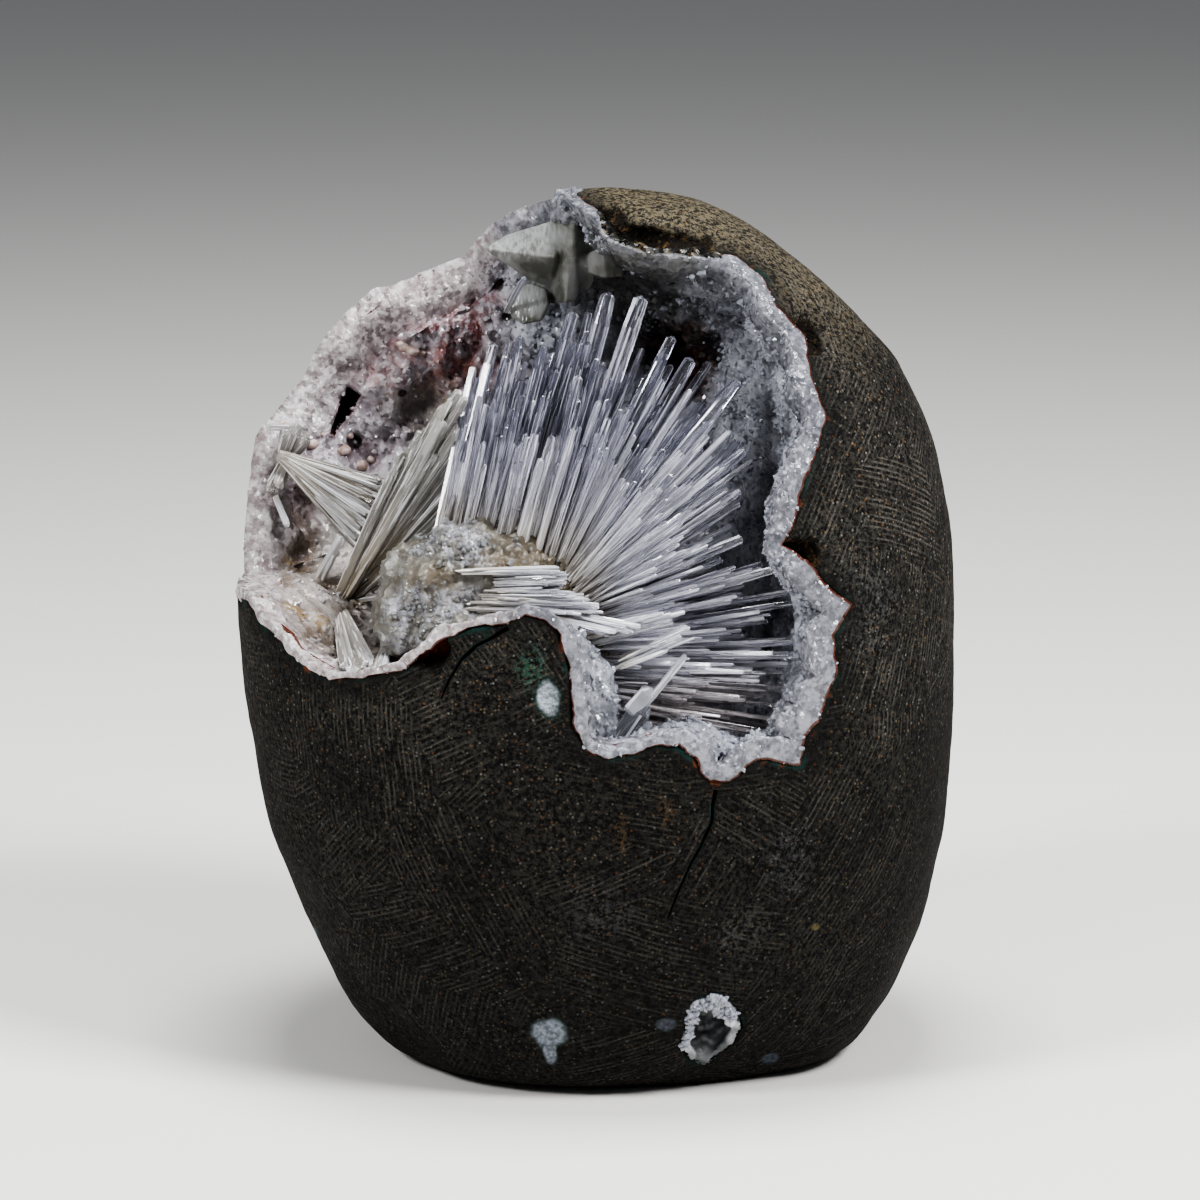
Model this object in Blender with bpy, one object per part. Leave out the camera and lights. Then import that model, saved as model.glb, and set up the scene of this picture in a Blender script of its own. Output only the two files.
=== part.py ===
"""A scolecite geode: a basalt nodule, ground smooth outside and open on its upper left front.

The nodule stands on a flat ground base. Its main hollow is lined with a crust of small quartz
crystals, and sprays of scolecite needles and some stilbite blades grow on that crust. A small
vug low on the front has a lining of its own. Everything is in metres, with +Z up, the front
towards -Y, and the origin at the middle of the base.
"""

import math
import random

import bmesh
import bpy
from mathutils import Matrix, Vector, noise
from mathutils.bvhtree import BVHTree

MM = 0.001
SEED = 41

# The ground outside. Each row is a height and the reach to the left, right, front and back.
STATIONS_MM = (
    (0, 44, 53, 40, 40),
    (3, 51, 61, 47, 47),
    (12, 59, 69, 53, 54),
    (30, 67, 75, 59, 60),
    (55, 77, 79.5, 65, 65),
    (85, 81.5, 81, 67, 67),
    (118, 83, 80, 65, 66),
    (142, 79.5, 75, 58, 61),
    (160, 70.5, 66.5, 50, 54),
    (175, 55.5, 53.5, 39, 45),
    (187, 36, 36.5, 26, 31),
    (194, 16, 23, 13, 18),
)
APEX_MM = (3, 3, 197.5)
RING_POINTS = 36
ROUNDNESS = 2.25

# Flats left by the grinder: heading round the nodule, tilt above level, and the depth taken off.
GROUND_FLATS = (
    (20, -38, 3.0),
    (-48, -30, 2.6),
    (-8, -8, 1.2),
    (58, 6, 1.6),
    (74, -24, 2.2),
    (-95, -14, 1.8),
    (128, 14, 2.4),
    (176, -12, 2.0),
    (-150, 22, 2.6),
    (98, 44, 2.0),
)

# Places are often given as they look from the front, from this far away and looking down this
# much, on an upright picture through the nodule's middle: millimetres right of and above its centre.
VIEW_DISTANCE = 1000 * MM
VIEW_DOWN = math.radians(12)
VIEW_CENTRE = Vector((0, 0, 103 * MM))
VIEW_UP = Vector((0, math.sin(VIEW_DOWN), math.cos(VIEW_DOWN)))
EYE = VIEW_CENTRE + VIEW_DISTANCE * Vector((0, -math.cos(VIEW_DOWN), math.sin(VIEW_DOWN)))

# The near edge of the mouth, from the left side along the bottom and up the right to the top.
# Each row is a place in the front view and the width of the lining's lip there.
MOUTH_NEAR_MM = (
    (-80, 0, 1.8), (-77, -5.5, 1.8), (-72.5, -9, 1.8), (-70.5, -12.5, 1.8), (-66, -15.5, 1.8),
    (-61.5, -18, 1.8), (-54, -17.5, 1.8), (-45, -16, 2), (-41, -12.5, 2), (-36.5, -9, 2),
    (-30, -6.5, 2), (-22, -5, 2), (-17, -3.5, 2), (-12, -4.5, 2), (-9, -8, 2),
    (-7, -14, 2.2), (-6.3, -22, 2.6), (-6, -28, 2.8), (-4, -33, 2.4), (1, -36, 1.8),
    (7, -35, 1.8), (12.5, -33, 2.2), (18, -33, 3.6), (21.5, -36, 3.8), (25, -41, 3.8),
    (29.5, -41.5, 4.4), (33, -38, 4.4), (36.5, -36, 4.8), (45.5, -37.5, 6.2), (46.5, -31, 6.4),
    (50, -27.5, 6.6), (51, -22.5, 6.8), (54, -17.5, 7), (53, -8, 7), (57, -1, 7),
    (51, 4, 5.5), (47, 9, 5), (41.5, 12.5, 4.4), (44, 18, 5), (46, 26, 5),
    (49, 34, 4.6), (51.5, 41, 4.6), (48, 51, 4.6), (46.5, 60, 4.2), (40, 66.5, 4),
    (37, 73.5, 3.8), (31, 78, 3.6), (22, 80, 3), (12, 80, 2.6), (4, 82.5, 2.4),
    (0, 88, 2.4), (-5.5, 92, 2.4),
)  # fmt: skip
# The far edge, on the back slope just behind the left and upper left of the view.
MOUTH_FAR_MM = (
    (-11, 91), (-16.5, 89), (-23.5, 85), (-29, 78), (-35.5, 74.5), (-44, 71), (-52, 69),
    (-57.5, 65), (-63, 57.5), (-67, 50), (-72, 43.5), (-78, 36), (-79.5, 25), (-80.5, 14),
    (-80.5, 5),
)  # fmt: skip
FAR_LIP_MM = 2.6
# The far edge comes round the left side here, below which the view's own edge hides it.
LEFT_LINK_MM = ((-81, 9, 104.5), (-82, 1, 104.5), (-82, -8, 105.5), (-81, -17, 107))

# The main hollow: its middle, and its reach left, right, to the front, to the back, up and down.
HOLLOW_MIDDLE = Vector((-8, -8, 122)) * MM
HOLLOW_REACH_MM = (62, 50, 46, 44, 60, 56)
HOLLOW_SQUARENESS = 2.5
MOUTH_FACES = Vector((-0.354, -0.834, 0.423)).normalized()
HOLLOW_STEPS = (0.08, 0.21, 0.4, 0.68)
LOBE_HEIGHT = 0.05
# Where the wall stands nearer to the middle, or further from it: direction and share.
HOLLOW_SWELLS = (((-0.8, 0.25, -0.55), -0.22), ((0.72, -0.5, -0.48), 0.1))

# The lining: its clearance to the rock, its thickness, and its lumps.
CLEARANCE = 0.5 * MM
LIP_BELOW = 0.4 * MM
CRUST_THICK = 4.4 * MM
LUMP_HEIGHT = 2.2 * MM
LUMP_SPACING = 8 * MM


def clear_scene():
    for old in list(bpy.data.objects):
        bpy.data.objects.remove(old, do_unlink=True)


def stone_material(name, colour, roughness):
    made = bpy.data.materials.new(name)
    made.use_nodes = True
    shader = made.node_tree.nodes["Principled BSDF"]
    shader.inputs["Base Color"].default_value = (*colour, 1)
    shader.inputs["Roughness"].default_value = roughness
    shader.inputs["Metallic"].default_value = 0
    return made


def object_from(name, shape, material=None):
    """An object from a bmesh. One without a material is a helper that no render shows."""
    mesh = bpy.data.meshes.new(name)
    shape.to_mesh(mesh)
    shape.free()
    made = bpy.data.objects.new(name, mesh)
    bpy.context.scene.collection.objects.link(made)
    if material:
        mesh.materials.append(material)
    else:
        made.hide_render = True
        made.display_type = "WIRE"
    return made


def combine(target, shape, operation, own_overlaps=False):
    """Applies an exact Boolean of the target with a closed bmesh or with another helper."""
    is_object = isinstance(shape, bpy.types.Object)
    other = shape if is_object else object_from(target.name + "_other", shape)
    step = target.modifiers.new(operation.title(), "BOOLEAN")
    step.operation = operation
    step.object = other
    step.solver = "EXACT"
    step.use_self = own_overlaps
    bpy.context.view_layer.objects.active = target
    bpy.ops.object.modifier_apply(modifier=step.name)
    bpy.data.objects.remove(other, do_unlink=True)


def keep_outer_skin(target):
    """Fills the small closed pockets left between crystals: only the largest skin stays."""
    shape = bmesh.new()
    shape.from_mesh(target.data)
    waiting, skins = set(shape.faces), []
    while waiting:
        edge, skin = [waiting.pop()], []
        while edge:
            face = edge.pop()
            skin.append(face)
            joined = {other for side in face.edges for other in side.link_faces} & waiting
            waiting -= joined
            edge.extend(joined)
        skins.append(skin)
    largest = max(skins, key=len)
    inner = [face for skin in skins if skin is not largest for face in skin]
    bmesh.ops.delete(shape, geom=inner, context="FACES")
    shape.to_mesh(target.data)
    shape.free()


def add_rows(shape, rows):
    """Adds closed loops of points, each bridged to the next, and returns their vertices."""
    made = [[shape.verts.new(point) for point in row] for row in rows]
    for low, high in zip(made, made[1:]):
        for k in range(len(low)):
            after = (k + 1) % len(low)
            shape.faces.new((low[k], low[after], high[after]))
            shape.faces.new((low[k], high[after], high[k]))
    return made


def add_fan(shape, loop, point):
    """Closes a loop of vertices onto one point."""
    tip = shape.verts.new(point)
    for k, vert in enumerate(loop):
        shape.faces.new((vert, loop[(k + 1) % len(loop)], tip))


def facing_out(shape):
    bmesh.ops.recalc_face_normals(shape, faces=shape.faces)
    if shape.calc_volume(signed=True) < 0:
        bmesh.ops.reverse_faces(shape, faces=shape.faces)
    return shape


def ease(share):
    held = min(1, max(0, share))
    return held * held * (3 - 2 * held)


# The outside of the nodule


def ring_point(station, turn):
    """A point on the rounded outline of a station, turn going round from +X."""
    height, left, right, front, back = station
    across, along = math.cos(turn), math.sin(turn)
    reach_x = right if across > 0 else left
    reach_y = back if along > 0 else front
    power = 2 / ROUNDNESS
    x = math.copysign(reach_x * abs(across) ** power, across)
    y = math.copysign(reach_y * abs(along) ** power, along)
    return Vector((x, y, height)) * MM


def grind(points):
    """Moves the points that stand past each of the grinder's planes back onto it."""
    for heading, tilt, depth in GROUND_FLATS:
        turn, rise = math.radians(heading - 90), math.radians(tilt)
        level = Vector((math.cos(turn), math.sin(turn), 0))
        facing = level * math.cos(rise) + Vector((0, 0, math.sin(rise)))
        limit = max(point.dot(facing) for point in points) - depth * MM
        for point in points:
            if point.z > 0:
                point -= facing * max(0, point.dot(facing) - limit)
                point.z = max(point.z, 0)
    return points


def outside_shape():
    shape = bmesh.new()
    turns = [2 * math.pi * k / RING_POINTS for k in range(RING_POINTS)]
    points = [ring_point(station, turn) for station in STATIONS_MM for turn in turns]
    points = grind([*points, Vector(APEX_MM) * MM])
    apex = points.pop()
    rows = [points[k : k + RING_POINTS] for k in range(0, len(points), RING_POINTS)]
    made = add_rows(shape, rows)
    shape.faces.new(made[0])
    add_fan(shape, made[-1], apex)
    return facing_out(shape)


# Places given in the front view


def sight_line(across, up):
    seen = VIEW_CENTRE + Vector((across * MM, 0, 0)) + VIEW_UP * (up * MM)
    return (seen - EYE).normalized()


def seen_at(across, up, depth):
    """The point at that place in the front view, at the Y of depth millimetres."""
    line = sight_line(across, up)
    return EYE + line * ((depth * MM - EYE.y) / line.y)


def on_outside(outside, across, up, far=False):
    """Where the sight line meets the outside, on the near or the far slope."""
    line = sight_line(across, up)
    start, way = (EYE + line * 2 * VIEW_DISTANCE, -line) if far else (EYE, line)
    hit = outside.ray_cast(start, way)[0]
    return hit or outside.find_nearest(EYE + line * VIEW_DISTANCE)[0]


def mouth_rim(outside):
    """The closed edge of the mouth on the outside, and the width of the lip at each point."""
    rim = [on_outside(outside, across, up) for across, up, _ in MOUTH_NEAR_MM]
    rim += [on_outside(outside, across, up, far=True) for across, up in MOUTH_FAR_MM]
    rim += [outside.find_nearest(Vector(place) * MM)[0] for place in LEFT_LINK_MM]
    lips = [lip * MM for _, _, lip in MOUTH_NEAR_MM]
    lips += [FAR_LIP_MM * MM] * (len(rim) - len(lips))
    return rim, lips


# Hollows, whose walls spread from the edge of their mouth to a rounded end


def main_reach(way):
    """The distance from the main hollow's middle to its wall in that direction."""
    left, right, front, back, up, down = HOLLOW_REACH_MM
    reach = (right if way.x > 0 else left, back if way.y > 0 else front, up if way.z > 0 else down)
    power = HOLLOW_SQUARENESS
    across = sum(abs(way[k] / (reach[k] * MM)) ** power for k in range(3)) ** (1 / power)
    swell = 1 + LOBE_HEIGHT * noise.noise(way * 2.4 + Vector((3.1, 7.7, 1.9)))
    for centre, share in HOLLOW_SWELLS:
        swell += share * max(0, way.dot(Vector(centre).normalized())) ** 6
    return swell / across


def turned(start, end, share):
    """The direction that share of the way along the arc from start to end."""
    angle = start.angle(end)
    return (start * math.sin((1 - share) * angle) + end * math.sin(share * angle)) / math.sin(angle)


def calmed(ways, passes=14):
    """The same loop of directions with its corners evened out."""
    for _ in range(passes):
        ways = [
            (ways[k - 1] + way + ways[(k + 1) % len(ways)]).normalized()
            for k, way in enumerate(ways)
        ]
    return ways


def wall_rows(rim, middle, deep, reach, steps, spread_within=0.34, straight=3 * MM):
    """Loops from just under the rim to near the deep end, and the point that ends them."""
    ways = [(edge - middle).normalized() for edge in rim]
    calm = calmed(ways)
    rows = []
    for step in (0, *steps):
        blend, spread = ease(step / 0.3), ease(step / spread_within)
        row = []
        for edge, way, even in zip(rim, ways, calm):
            start = way.lerp(even, blend).normalized()
            at = turned(start, deep, step) if step else start
            from_rim = (edge - middle).length - straight
            row.append(middle + at * ((1 - spread) * from_rim + spread * reach(at)))
        rows.append(row)
    return rows, middle + deep * reach(deep)


def inward_normals(rows, end):
    """For each point of the rows, the direction square to the wall and into the hollow."""
    found = []
    for r, row in enumerate(rows):
        above = rows[max(r - 1, 0)]
        below = rows[r + 1] if r + 1 < len(rows) else [end] * len(row)
        normals = []
        for k in range(len(row)):
            along = row[(k + 1) % len(row)] - row[k - 1]
            normals.append(along.cross(below[k] - above[k]).normalized())
        found.append(normals)
    return found


def room_shape(rim, rows, end, middle, beyond, tip):
    """The closed space of a hollow, going out through its mouth to a tip."""
    shape = bmesh.new()
    outer = [edge + (edge - middle).normalized() * beyond for edge in rim]
    made = add_rows(shape, [outer, *rows])
    add_fan(shape, made[0], tip)
    add_fan(shape, made[-1], end)
    return facing_out(shape)


def offset_rows(rows, end, amount):
    """The rows moved square to the wall, by an amount or by a function of the place."""
    far = amount if callable(amount) else lambda point: amount
    return [
        [point + way * far(point) for point, way in zip(row, ways)]
        for row, ways in zip(rows, inward_normals(rows, end))
    ]


def lining_shape(outside, rim, lips, rows, end, thick, lumps, clearance):
    """A crust on the wall of a hollow, with a lip that ends just under the ground outside."""
    outer_lip, inner_lip = [], []
    for k, edge in enumerate(rim):
        surface = outside.find_nearest(edge)[1]
        along = (rim[(k + 1) % len(rim)] - rim[k - 1]).normalized()
        inward = surface.cross(along)
        outer_lip.append(edge + inward * clearance * 1.3 - surface * LIP_BELOW)
        place, square = outside.find_nearest(edge + inward * lips[k])[:2]
        inner_lip.append(place - square * LIP_BELOW)

    def thickness(point):
        return thick + lumps * max(0, noise.noise(point / LUMP_SPACING))

    shape = bmesh.new()
    outer = add_rows(shape, [outer_lip, *offset_rows(rows, end, clearance)])
    ways = inward_normals(rows, end)[0]
    under_lip = [point + way * lip * 0.85 for point, way, lip in zip(rows[0], ways, lips)]
    inner = add_rows(shape, [inner_lip, under_lip, *offset_rows(rows, end, thickness)[1:]])
    out = (sum(rim, Vector()) / len(rim) - end).normalized()
    add_fan(shape, outer[-1], end + out * clearance)
    add_fan(shape, inner[-1], end + out * thick)
    for k in range(len(rim)):
        after = (k + 1) % len(rim)
        shape.faces.new((outer[0][k], outer[0][after], inner[0][after], inner[0][k]))
    return facing_out(shape)


# Crystals and lumps that grow on the lining


def add_prism(shape, root, tip, width, turn, depth=0.8, peak=0.45):
    """A four-sided needle from root to tip with a low pointed end."""
    along = (tip - root).normalized()
    side = along.orthogonal().normalized()
    side.rotate(Matrix.Rotation(turn, 3, along))
    other = along.cross(side) * depth
    corners = [side + other, other - side, -side - other, side - other]
    shoulder = tip - along * width * peak
    half = width / 2
    low = [root + corner * half * 0.9 for corner in corners]
    high = [shoulder + corner * half for corner in corners]
    made = add_rows(shape, [low, high])
    shape.faces.new(made[0])
    add_fan(shape, made[1], tip)


def add_lump(shape, middle, reach, rough, fine=2):
    """A rough rounded mass."""
    made = bmesh.ops.create_icosphere(shape, subdivisions=fine, radius=1)["verts"]
    for vert in made:
        way = vert.co.normalized()
        swell = 1 + rough * noise.noise(way * (1 + fine) + middle * 300)
        vert.co = middle + Vector([way[k] * reach[k] * swell for k in range(3)])


def add_blade(shape, outline, depth, thick):
    """A flat crystal drawn in the front view, its faces slanting to an edge all round."""
    middle = sum((Vector(point) for point in outline), Vector((0, 0))) / len(outline)
    rows = []
    for share, back in ((0.6, -0.5), (1, -0.18), (1, 0.2), (0.7, 0.5)):
        places = [middle.lerp(Vector(point), share) for point in outline]
        rows.append([seen_at(*place, depth + back * thick) for place in places])
    made = add_rows(shape, rows)
    shape.faces.new(made[0])
    shape.faces.new(made[-1])


# The main spray, as roots and tips seen from the front with their depths, going clockwise.
SPRAY_MM = (
    ((-34, 18, -30), (-24, 58.5, -18)),
    ((-29, 13, -33), (-18, 60, -20)),
    ((-24, 12, -35), (-12.5, 58, -26)),
    ((-21, 12, -36), (-6, 65.5, -22)),
    ((-14, 9, -38), (2, 70, -26)),
    ((-11, 9, -38), (9.5, 69, -26)),
    ((-9, 8, -38), (16.5, 60, -24)),
    ((-7, 7, -38), (21, 55, -22)),
    ((-6.5, 4, -38), (31.5, 50, -30)),
    ((-5.5, 2, -38), (33, 34, -34)),
    ((-4.5, 0, -38), (32, 25, -36)),
    ((-4.5, -2, -38), (32.5, 14, -38)),
    ((-5.5, -6, -38), (40, 7, -40)),
    ((-9, -9, -40), (45.5, -0.5, -42)),
    ((-13, -12.5, -40), (45, -12.5, -46)),
    ((-18, -17, -40), (45, -20.5, -48)),
    ((-18, -20.5, -40), (40, -30.5, -50)),
    ((-18, -22.5, -40), (28.5, -37.5, -50)),
)
NEEDLES_PER_GAP = 4
NEEDLE_WIDE_MM = (1.8, 3.3)

# Single needles seen from the front: root with its depth, tip with its depth, and width.
LOOSE_NEEDLES_MM = (
    ((-36, 6.5, -44), (-9, 6, -49), 2.2),
    ((-34, 4.5, -45), (-6, 4.5, -50), 2.4),
    ((-30, 2.5, -45), (-2, 1, -52), 2.8),
    ((-28, 0.5, -46), (3, -2, -52), 3.0),
    ((-20, 0, -48), (11.5, -6, -54), 2.4),
    ((-12, 0, -50), (6, -3.5, -54), 2.2),
    ((-20, 5, -46), (-5, 7.5, -50), 2.2),
    ((-8, -1, -50), (9, -9, -54), 2.0),
    ((8.5, -26, -52), (19.5, -13, -55), 2.4),
    ((11.5, -24, -50), (-1, -28.5, -56), 2.6),
    ((11.5, -24, -50), (1.5, -34.5, -56), 3.4),
    ((12, -25, -50), (6.5, -35, -56), 3.2),
    ((4, -18, -44), (10.5, -30, -55), 5.6),
)

# Needles that grow from the lining: root, tip, how far the tip comes nearer, and width.
LEFT_ROOT_MM = (-59, 1)
FAN_ROOT_MM = (-71, 32)
WALL_NEEDLES_MM = (
    (LEFT_ROOT_MM, (-31.5, 48), 22, 2.8),
    (LEFT_ROOT_MM, (-28.5, 44.5), 20, 2.2),
    (LEFT_ROOT_MM, (-34, 38), 24, 2.2),
    (LEFT_ROOT_MM, (-30, 33), 18, 2.0),
    (LEFT_ROOT_MM, (-39.5, 27.5), 22, 2.4),
    (LEFT_ROOT_MM, (-42, 36), 16, 2.2),
    (LEFT_ROOT_MM, (-46, 31.5), 15, 2.4),
    (LEFT_ROOT_MM, (-34, 24), 20, 2.0),
    (LEFT_ROOT_MM, (-57, -16), 10, 3.4),
    (LEFT_ROOT_MM, (-53, -15.5), 10, 3.0),
    (LEFT_ROOT_MM, (-51, -5), 8, 1.5),
    (LEFT_ROOT_MM, (-48, 0.5), 6, 1.6),
    (LEFT_ROOT_MM, (-47.5, 7), 8, 2.0),
    ((-62, 0), (-58.5, 14), 8, 1.8),
    ((-64.5, 1), (-60, 13), 9, 1.5),
    (FAN_ROOT_MM, (-48.5, 28.5), 0, 3.0),
    (FAN_ROOT_MM, (-49, 24.5), 3, 3.2),
    (FAN_ROOT_MM, (-50, 20), 5, 3.2),
    (FAN_ROOT_MM, (-52.5, 15), 7, 3.2),
    (FAN_ROOT_MM, (-56, 10.5), 9, 3.0),
    (FAN_ROOT_MM, (-60, 14), 8, 2.6),
    (FAN_ROOT_MM, (-67.5, 40.5), 5, 4.2),
    (FAN_ROOT_MM, (-63.5, 39), 4, 3.8),
    (FAN_ROOT_MM, (-74.5, 25), 5, 3.2),
    ((-71, 38), (-76, 39.2), 4, 1.8),
    ((-74, 25), (-71, 17.5), 5, 1.7),
    ((-21, 66), (-17.5, 73), 6, 2.2),
)

# Blades of stilbite: outline seen from the front, depth and thickness.
BLADES_MM = (
    (((-26, 80), (-22.7, 82.3), (-14.8, 84.5), (-9.8, 86.6), (-8.2, 84), (-10.2, 78), (-12, 75),
      (-16.5, 74.8), (-21, 77)), 10, 8),
    (((-9.5, 91.5), (-4, 92.5), (-1.4, 88), (-0.9, 82), (-3.4, 74), (-5, 68), (-11.8, 67),
      (-10.9, 76), (-9.4, 83)), 8, 12),
    (((-21.6, 66.5), (-18.6, 71.6), (-12.5, 70.8), (-11, 67), (-13.6, 63.2), (-18.2, 62.7)),
     10, 12),
    (((-4.4, 77), (0, 78.4), (5, 77), (6, 75), (3.4, 72.6), (-3, 72.4)), 6, 8),
)  # fmt: skip

# Rough masses in the hollow: middle with its depth, reach in X, Y and Z, and fineness.
MASSES_MM = (
    ((-27, 4, -36), (22, 13, 13), 2),
    ((-12, -13, -40), (15, 12, 14), 2),
    ((-38, 10, -34), (9, 9, 8), 1),
    ((-26, 13, -35), (8, 9, 7), 1),
    ((-42, -3, -36), (8, 9, 9), 1),
)
# Rough knobs on the lining: middle seen from the front, and reach in X, Y and Z.
KNOBS_MM = (
    (LEFT_ROOT_MM, (5, 5, 4.5)),
    (FAN_ROOT_MM, (5.5, 6, 5.5)),
    ((-43, 58), (4.5, 3, 2)),
    ((-54, 55), (7, 4, 5)),
    ((-36, 66), (8, 4, 5)),
    ((-62, 40), (5, 4, 6)),
    ((-44, 44), (8, 4, 5)),
    ((-72, 4), (5, 6, 4)),
    ((33, 62), (6, 7, 7)),
    ((38, 44), (5, 8, 8)),
    ((36, 24), (5, 7, 6)),
    ((30, 72), (7, 6, 5)),
    ((14, 72), (8, 6, 5)),
    ((47, -16), (4, 6, 6)),
)


def on_wall(wall, across, up):
    """The point of the lining that shows at that place in the front view."""
    return wall.ray_cast(EYE, sight_line(across, up))[0]


def add_spray(shape, rng):
    """Needles between each neighbouring pair of the spray's guides, the outer ones longest."""
    for first, second in zip(SPRAY_MM, SPRAY_MM[1:]):
        for k in range(NEEDLES_PER_GAP):
            share = (k + rng.uniform(0.1, 0.9)) / NEEDLES_PER_GAP
            root = Vector(first[0]).lerp(Vector(second[0]), share)
            tip = Vector(first[1]).lerp(Vector(second[1]), share)
            layer = k % 3
            root.z += (4, 0, -3)[layer] + rng.uniform(-2, 2)
            tip = root + (tip - root) * (1, 0.86, 0.7)[layer] * rng.uniform(0.9, 1.02)
            tip.z += (5, 0, -4)[layer] + rng.uniform(-2.5, 2.5)
            wide = rng.uniform(*NEEDLE_WIDE_MM) * MM
            add_prism(shape, seen_at(*root), seen_at(*tip), wide, rng.uniform(0, math.pi))


def add_growths(shape, rng, wall):
    add_spray(shape, rng)
    for root, tip, wide in LOOSE_NEEDLES_MM:
        add_prism(shape, seen_at(*root), seen_at(*tip), wide * MM, rng.uniform(0, math.pi))
    for root, tip, nearer, wide in WALL_NEEDLES_MM:
        start = on_wall(wall, *root)
        start += sight_line(*root) * MM
        end = seen_at(*tip, start.y / MM - nearer)
        add_prism(shape, start, end, wide * MM, rng.uniform(0, math.pi))
    for outline, depth, thick in BLADES_MM:
        add_blade(shape, outline, depth, thick)
    for middle, reach, fine in MASSES_MM:
        add_lump(shape, seen_at(*middle), Vector(reach) * MM, 0.35, fine)
    for middle, reach in KNOBS_MM:
        add_lump(shape, on_wall(wall, *middle), Vector(reach) * MM, 0.4, 1)


# Openings in the lining, chips and cracks in the rock, and the small vug

SLOT_MM = ((-57.5, 49), (-55.3, 48.2), (-58, 41), (-60.4, 38.6))
POCKET_MM = ((18, 55.5), (7, 9, 10))
CHIPS_MM = (
    ((1, 87), (5.5, 7, 4)),
    ((9, 81.5), (12, 9, 4.5)),
    ((20, 80.5), (8, 7, 3.5)),
    ((47.5, 60.5), (5, 5, 6)),
    ((46, 9.5), (7, 5, 4.5)),
    ((-39.5, -12), (6.5, 5.5, 4)),
)
CRACKS_MM = (
    ((-21, -4), (-27.7, -9.3), (-34, -14), (-35.7, -18.2), (-36, -23)),
    ((26, -41), (23.5, -50), (20.5, -57), (18.2, -64), (14.8, -74)),
)
CRACK_WIDE = 1.3 * MM
CRACK_DEEP = 1.9 * MM

VUG_MIDDLE_MM = (25.2, -97.6)
VUG_REACH_MM = (6.6, 8.8)
VUG_TILT = math.radians(-27)
VUG_POINTS = 16
VUG_DEEP = 8 * MM
VUG_THICK = 1.8 * MM
VUG_LIPS_MM = (2.2, 4.6)
VUG_CLEARANCE = 0.35 * MM


def slot_cutter(wall):
    shape = bmesh.new()
    depth = on_wall(wall, *SLOT_MM[0]).y / MM
    rows = [[seen_at(*point, depth + far) for point in SLOT_MM] for far in (-8, 12)]
    made = add_rows(shape, rows)
    shape.faces.new(made[0])
    shape.faces.new(made[1])
    return facing_out(shape)


def lump_cutter(middle, reach, rough=0.3):
    shape = bmesh.new()
    add_lump(shape, middle, Vector(reach) * MM, rough)
    return facing_out(shape)


def crack_cutter(outside, path):
    """A groove of three-sided section that follows a path on the outside."""
    shape = bmesh.new()
    rows = []
    for k, place in enumerate(path):
        point = on_outside(outside, *place)
        square = outside.find_nearest(point)[1]
        ahead = on_outside(outside, *path[min(k + 1, len(path) - 1)])
        behind = on_outside(outside, *path[max(k - 1, 0)])
        side = square.cross(ahead - behind).normalized() * CRACK_WIDE * (1 - 0.6 * k / len(path))
        rows.append([point + side + square * MM, point - side + square * MM, point - square * CRACK_DEEP])
    made = add_rows(shape, rows)
    shape.faces.new(made[0])
    shape.faces.new(made[-1])
    return facing_out(shape)


def vug_shapes(outside):
    """The small vug's closed space and the lining that stands in it."""
    rim, lips = [], []
    for k in range(VUG_POINTS):
        turn = 2 * math.pi * k / VUG_POINTS
        swell = 1 + 0.09 * math.sin(3 * turn + 0.5) + 0.05 * math.sin(5 * turn)
        place = Vector((VUG_REACH_MM[0] * math.cos(turn), VUG_REACH_MM[1] * math.sin(turn))) * swell
        place.rotate(Matrix.Rotation(VUG_TILT, 2))
        rim.append(on_outside(outside, *(Vector(VUG_MIDDLE_MM) + place)))
        lips.append((VUG_LIPS_MM[0] + (VUG_LIPS_MM[1] - VUG_LIPS_MM[0]) * max(0, math.sin(turn))) * MM)
    centre = sum(rim, Vector()) / len(rim)
    deep = -outside.find_nearest(centre)[1]
    middle = centre + deep * 2.5 * MM
    rows, end = wall_rows(rim, middle, deep, lambda way: VUG_DEEP, (0.25, 0.5, 0.75), 0.4, MM)
    room = room_shape(rim, rows, end, middle, 4 * MM, middle - deep * 20 * MM)
    lining = lining_shape(outside, rim, lips, rows, end, VUG_THICK, 0.8 * MM, VUG_CLEARANCE)
    return room, lining


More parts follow.
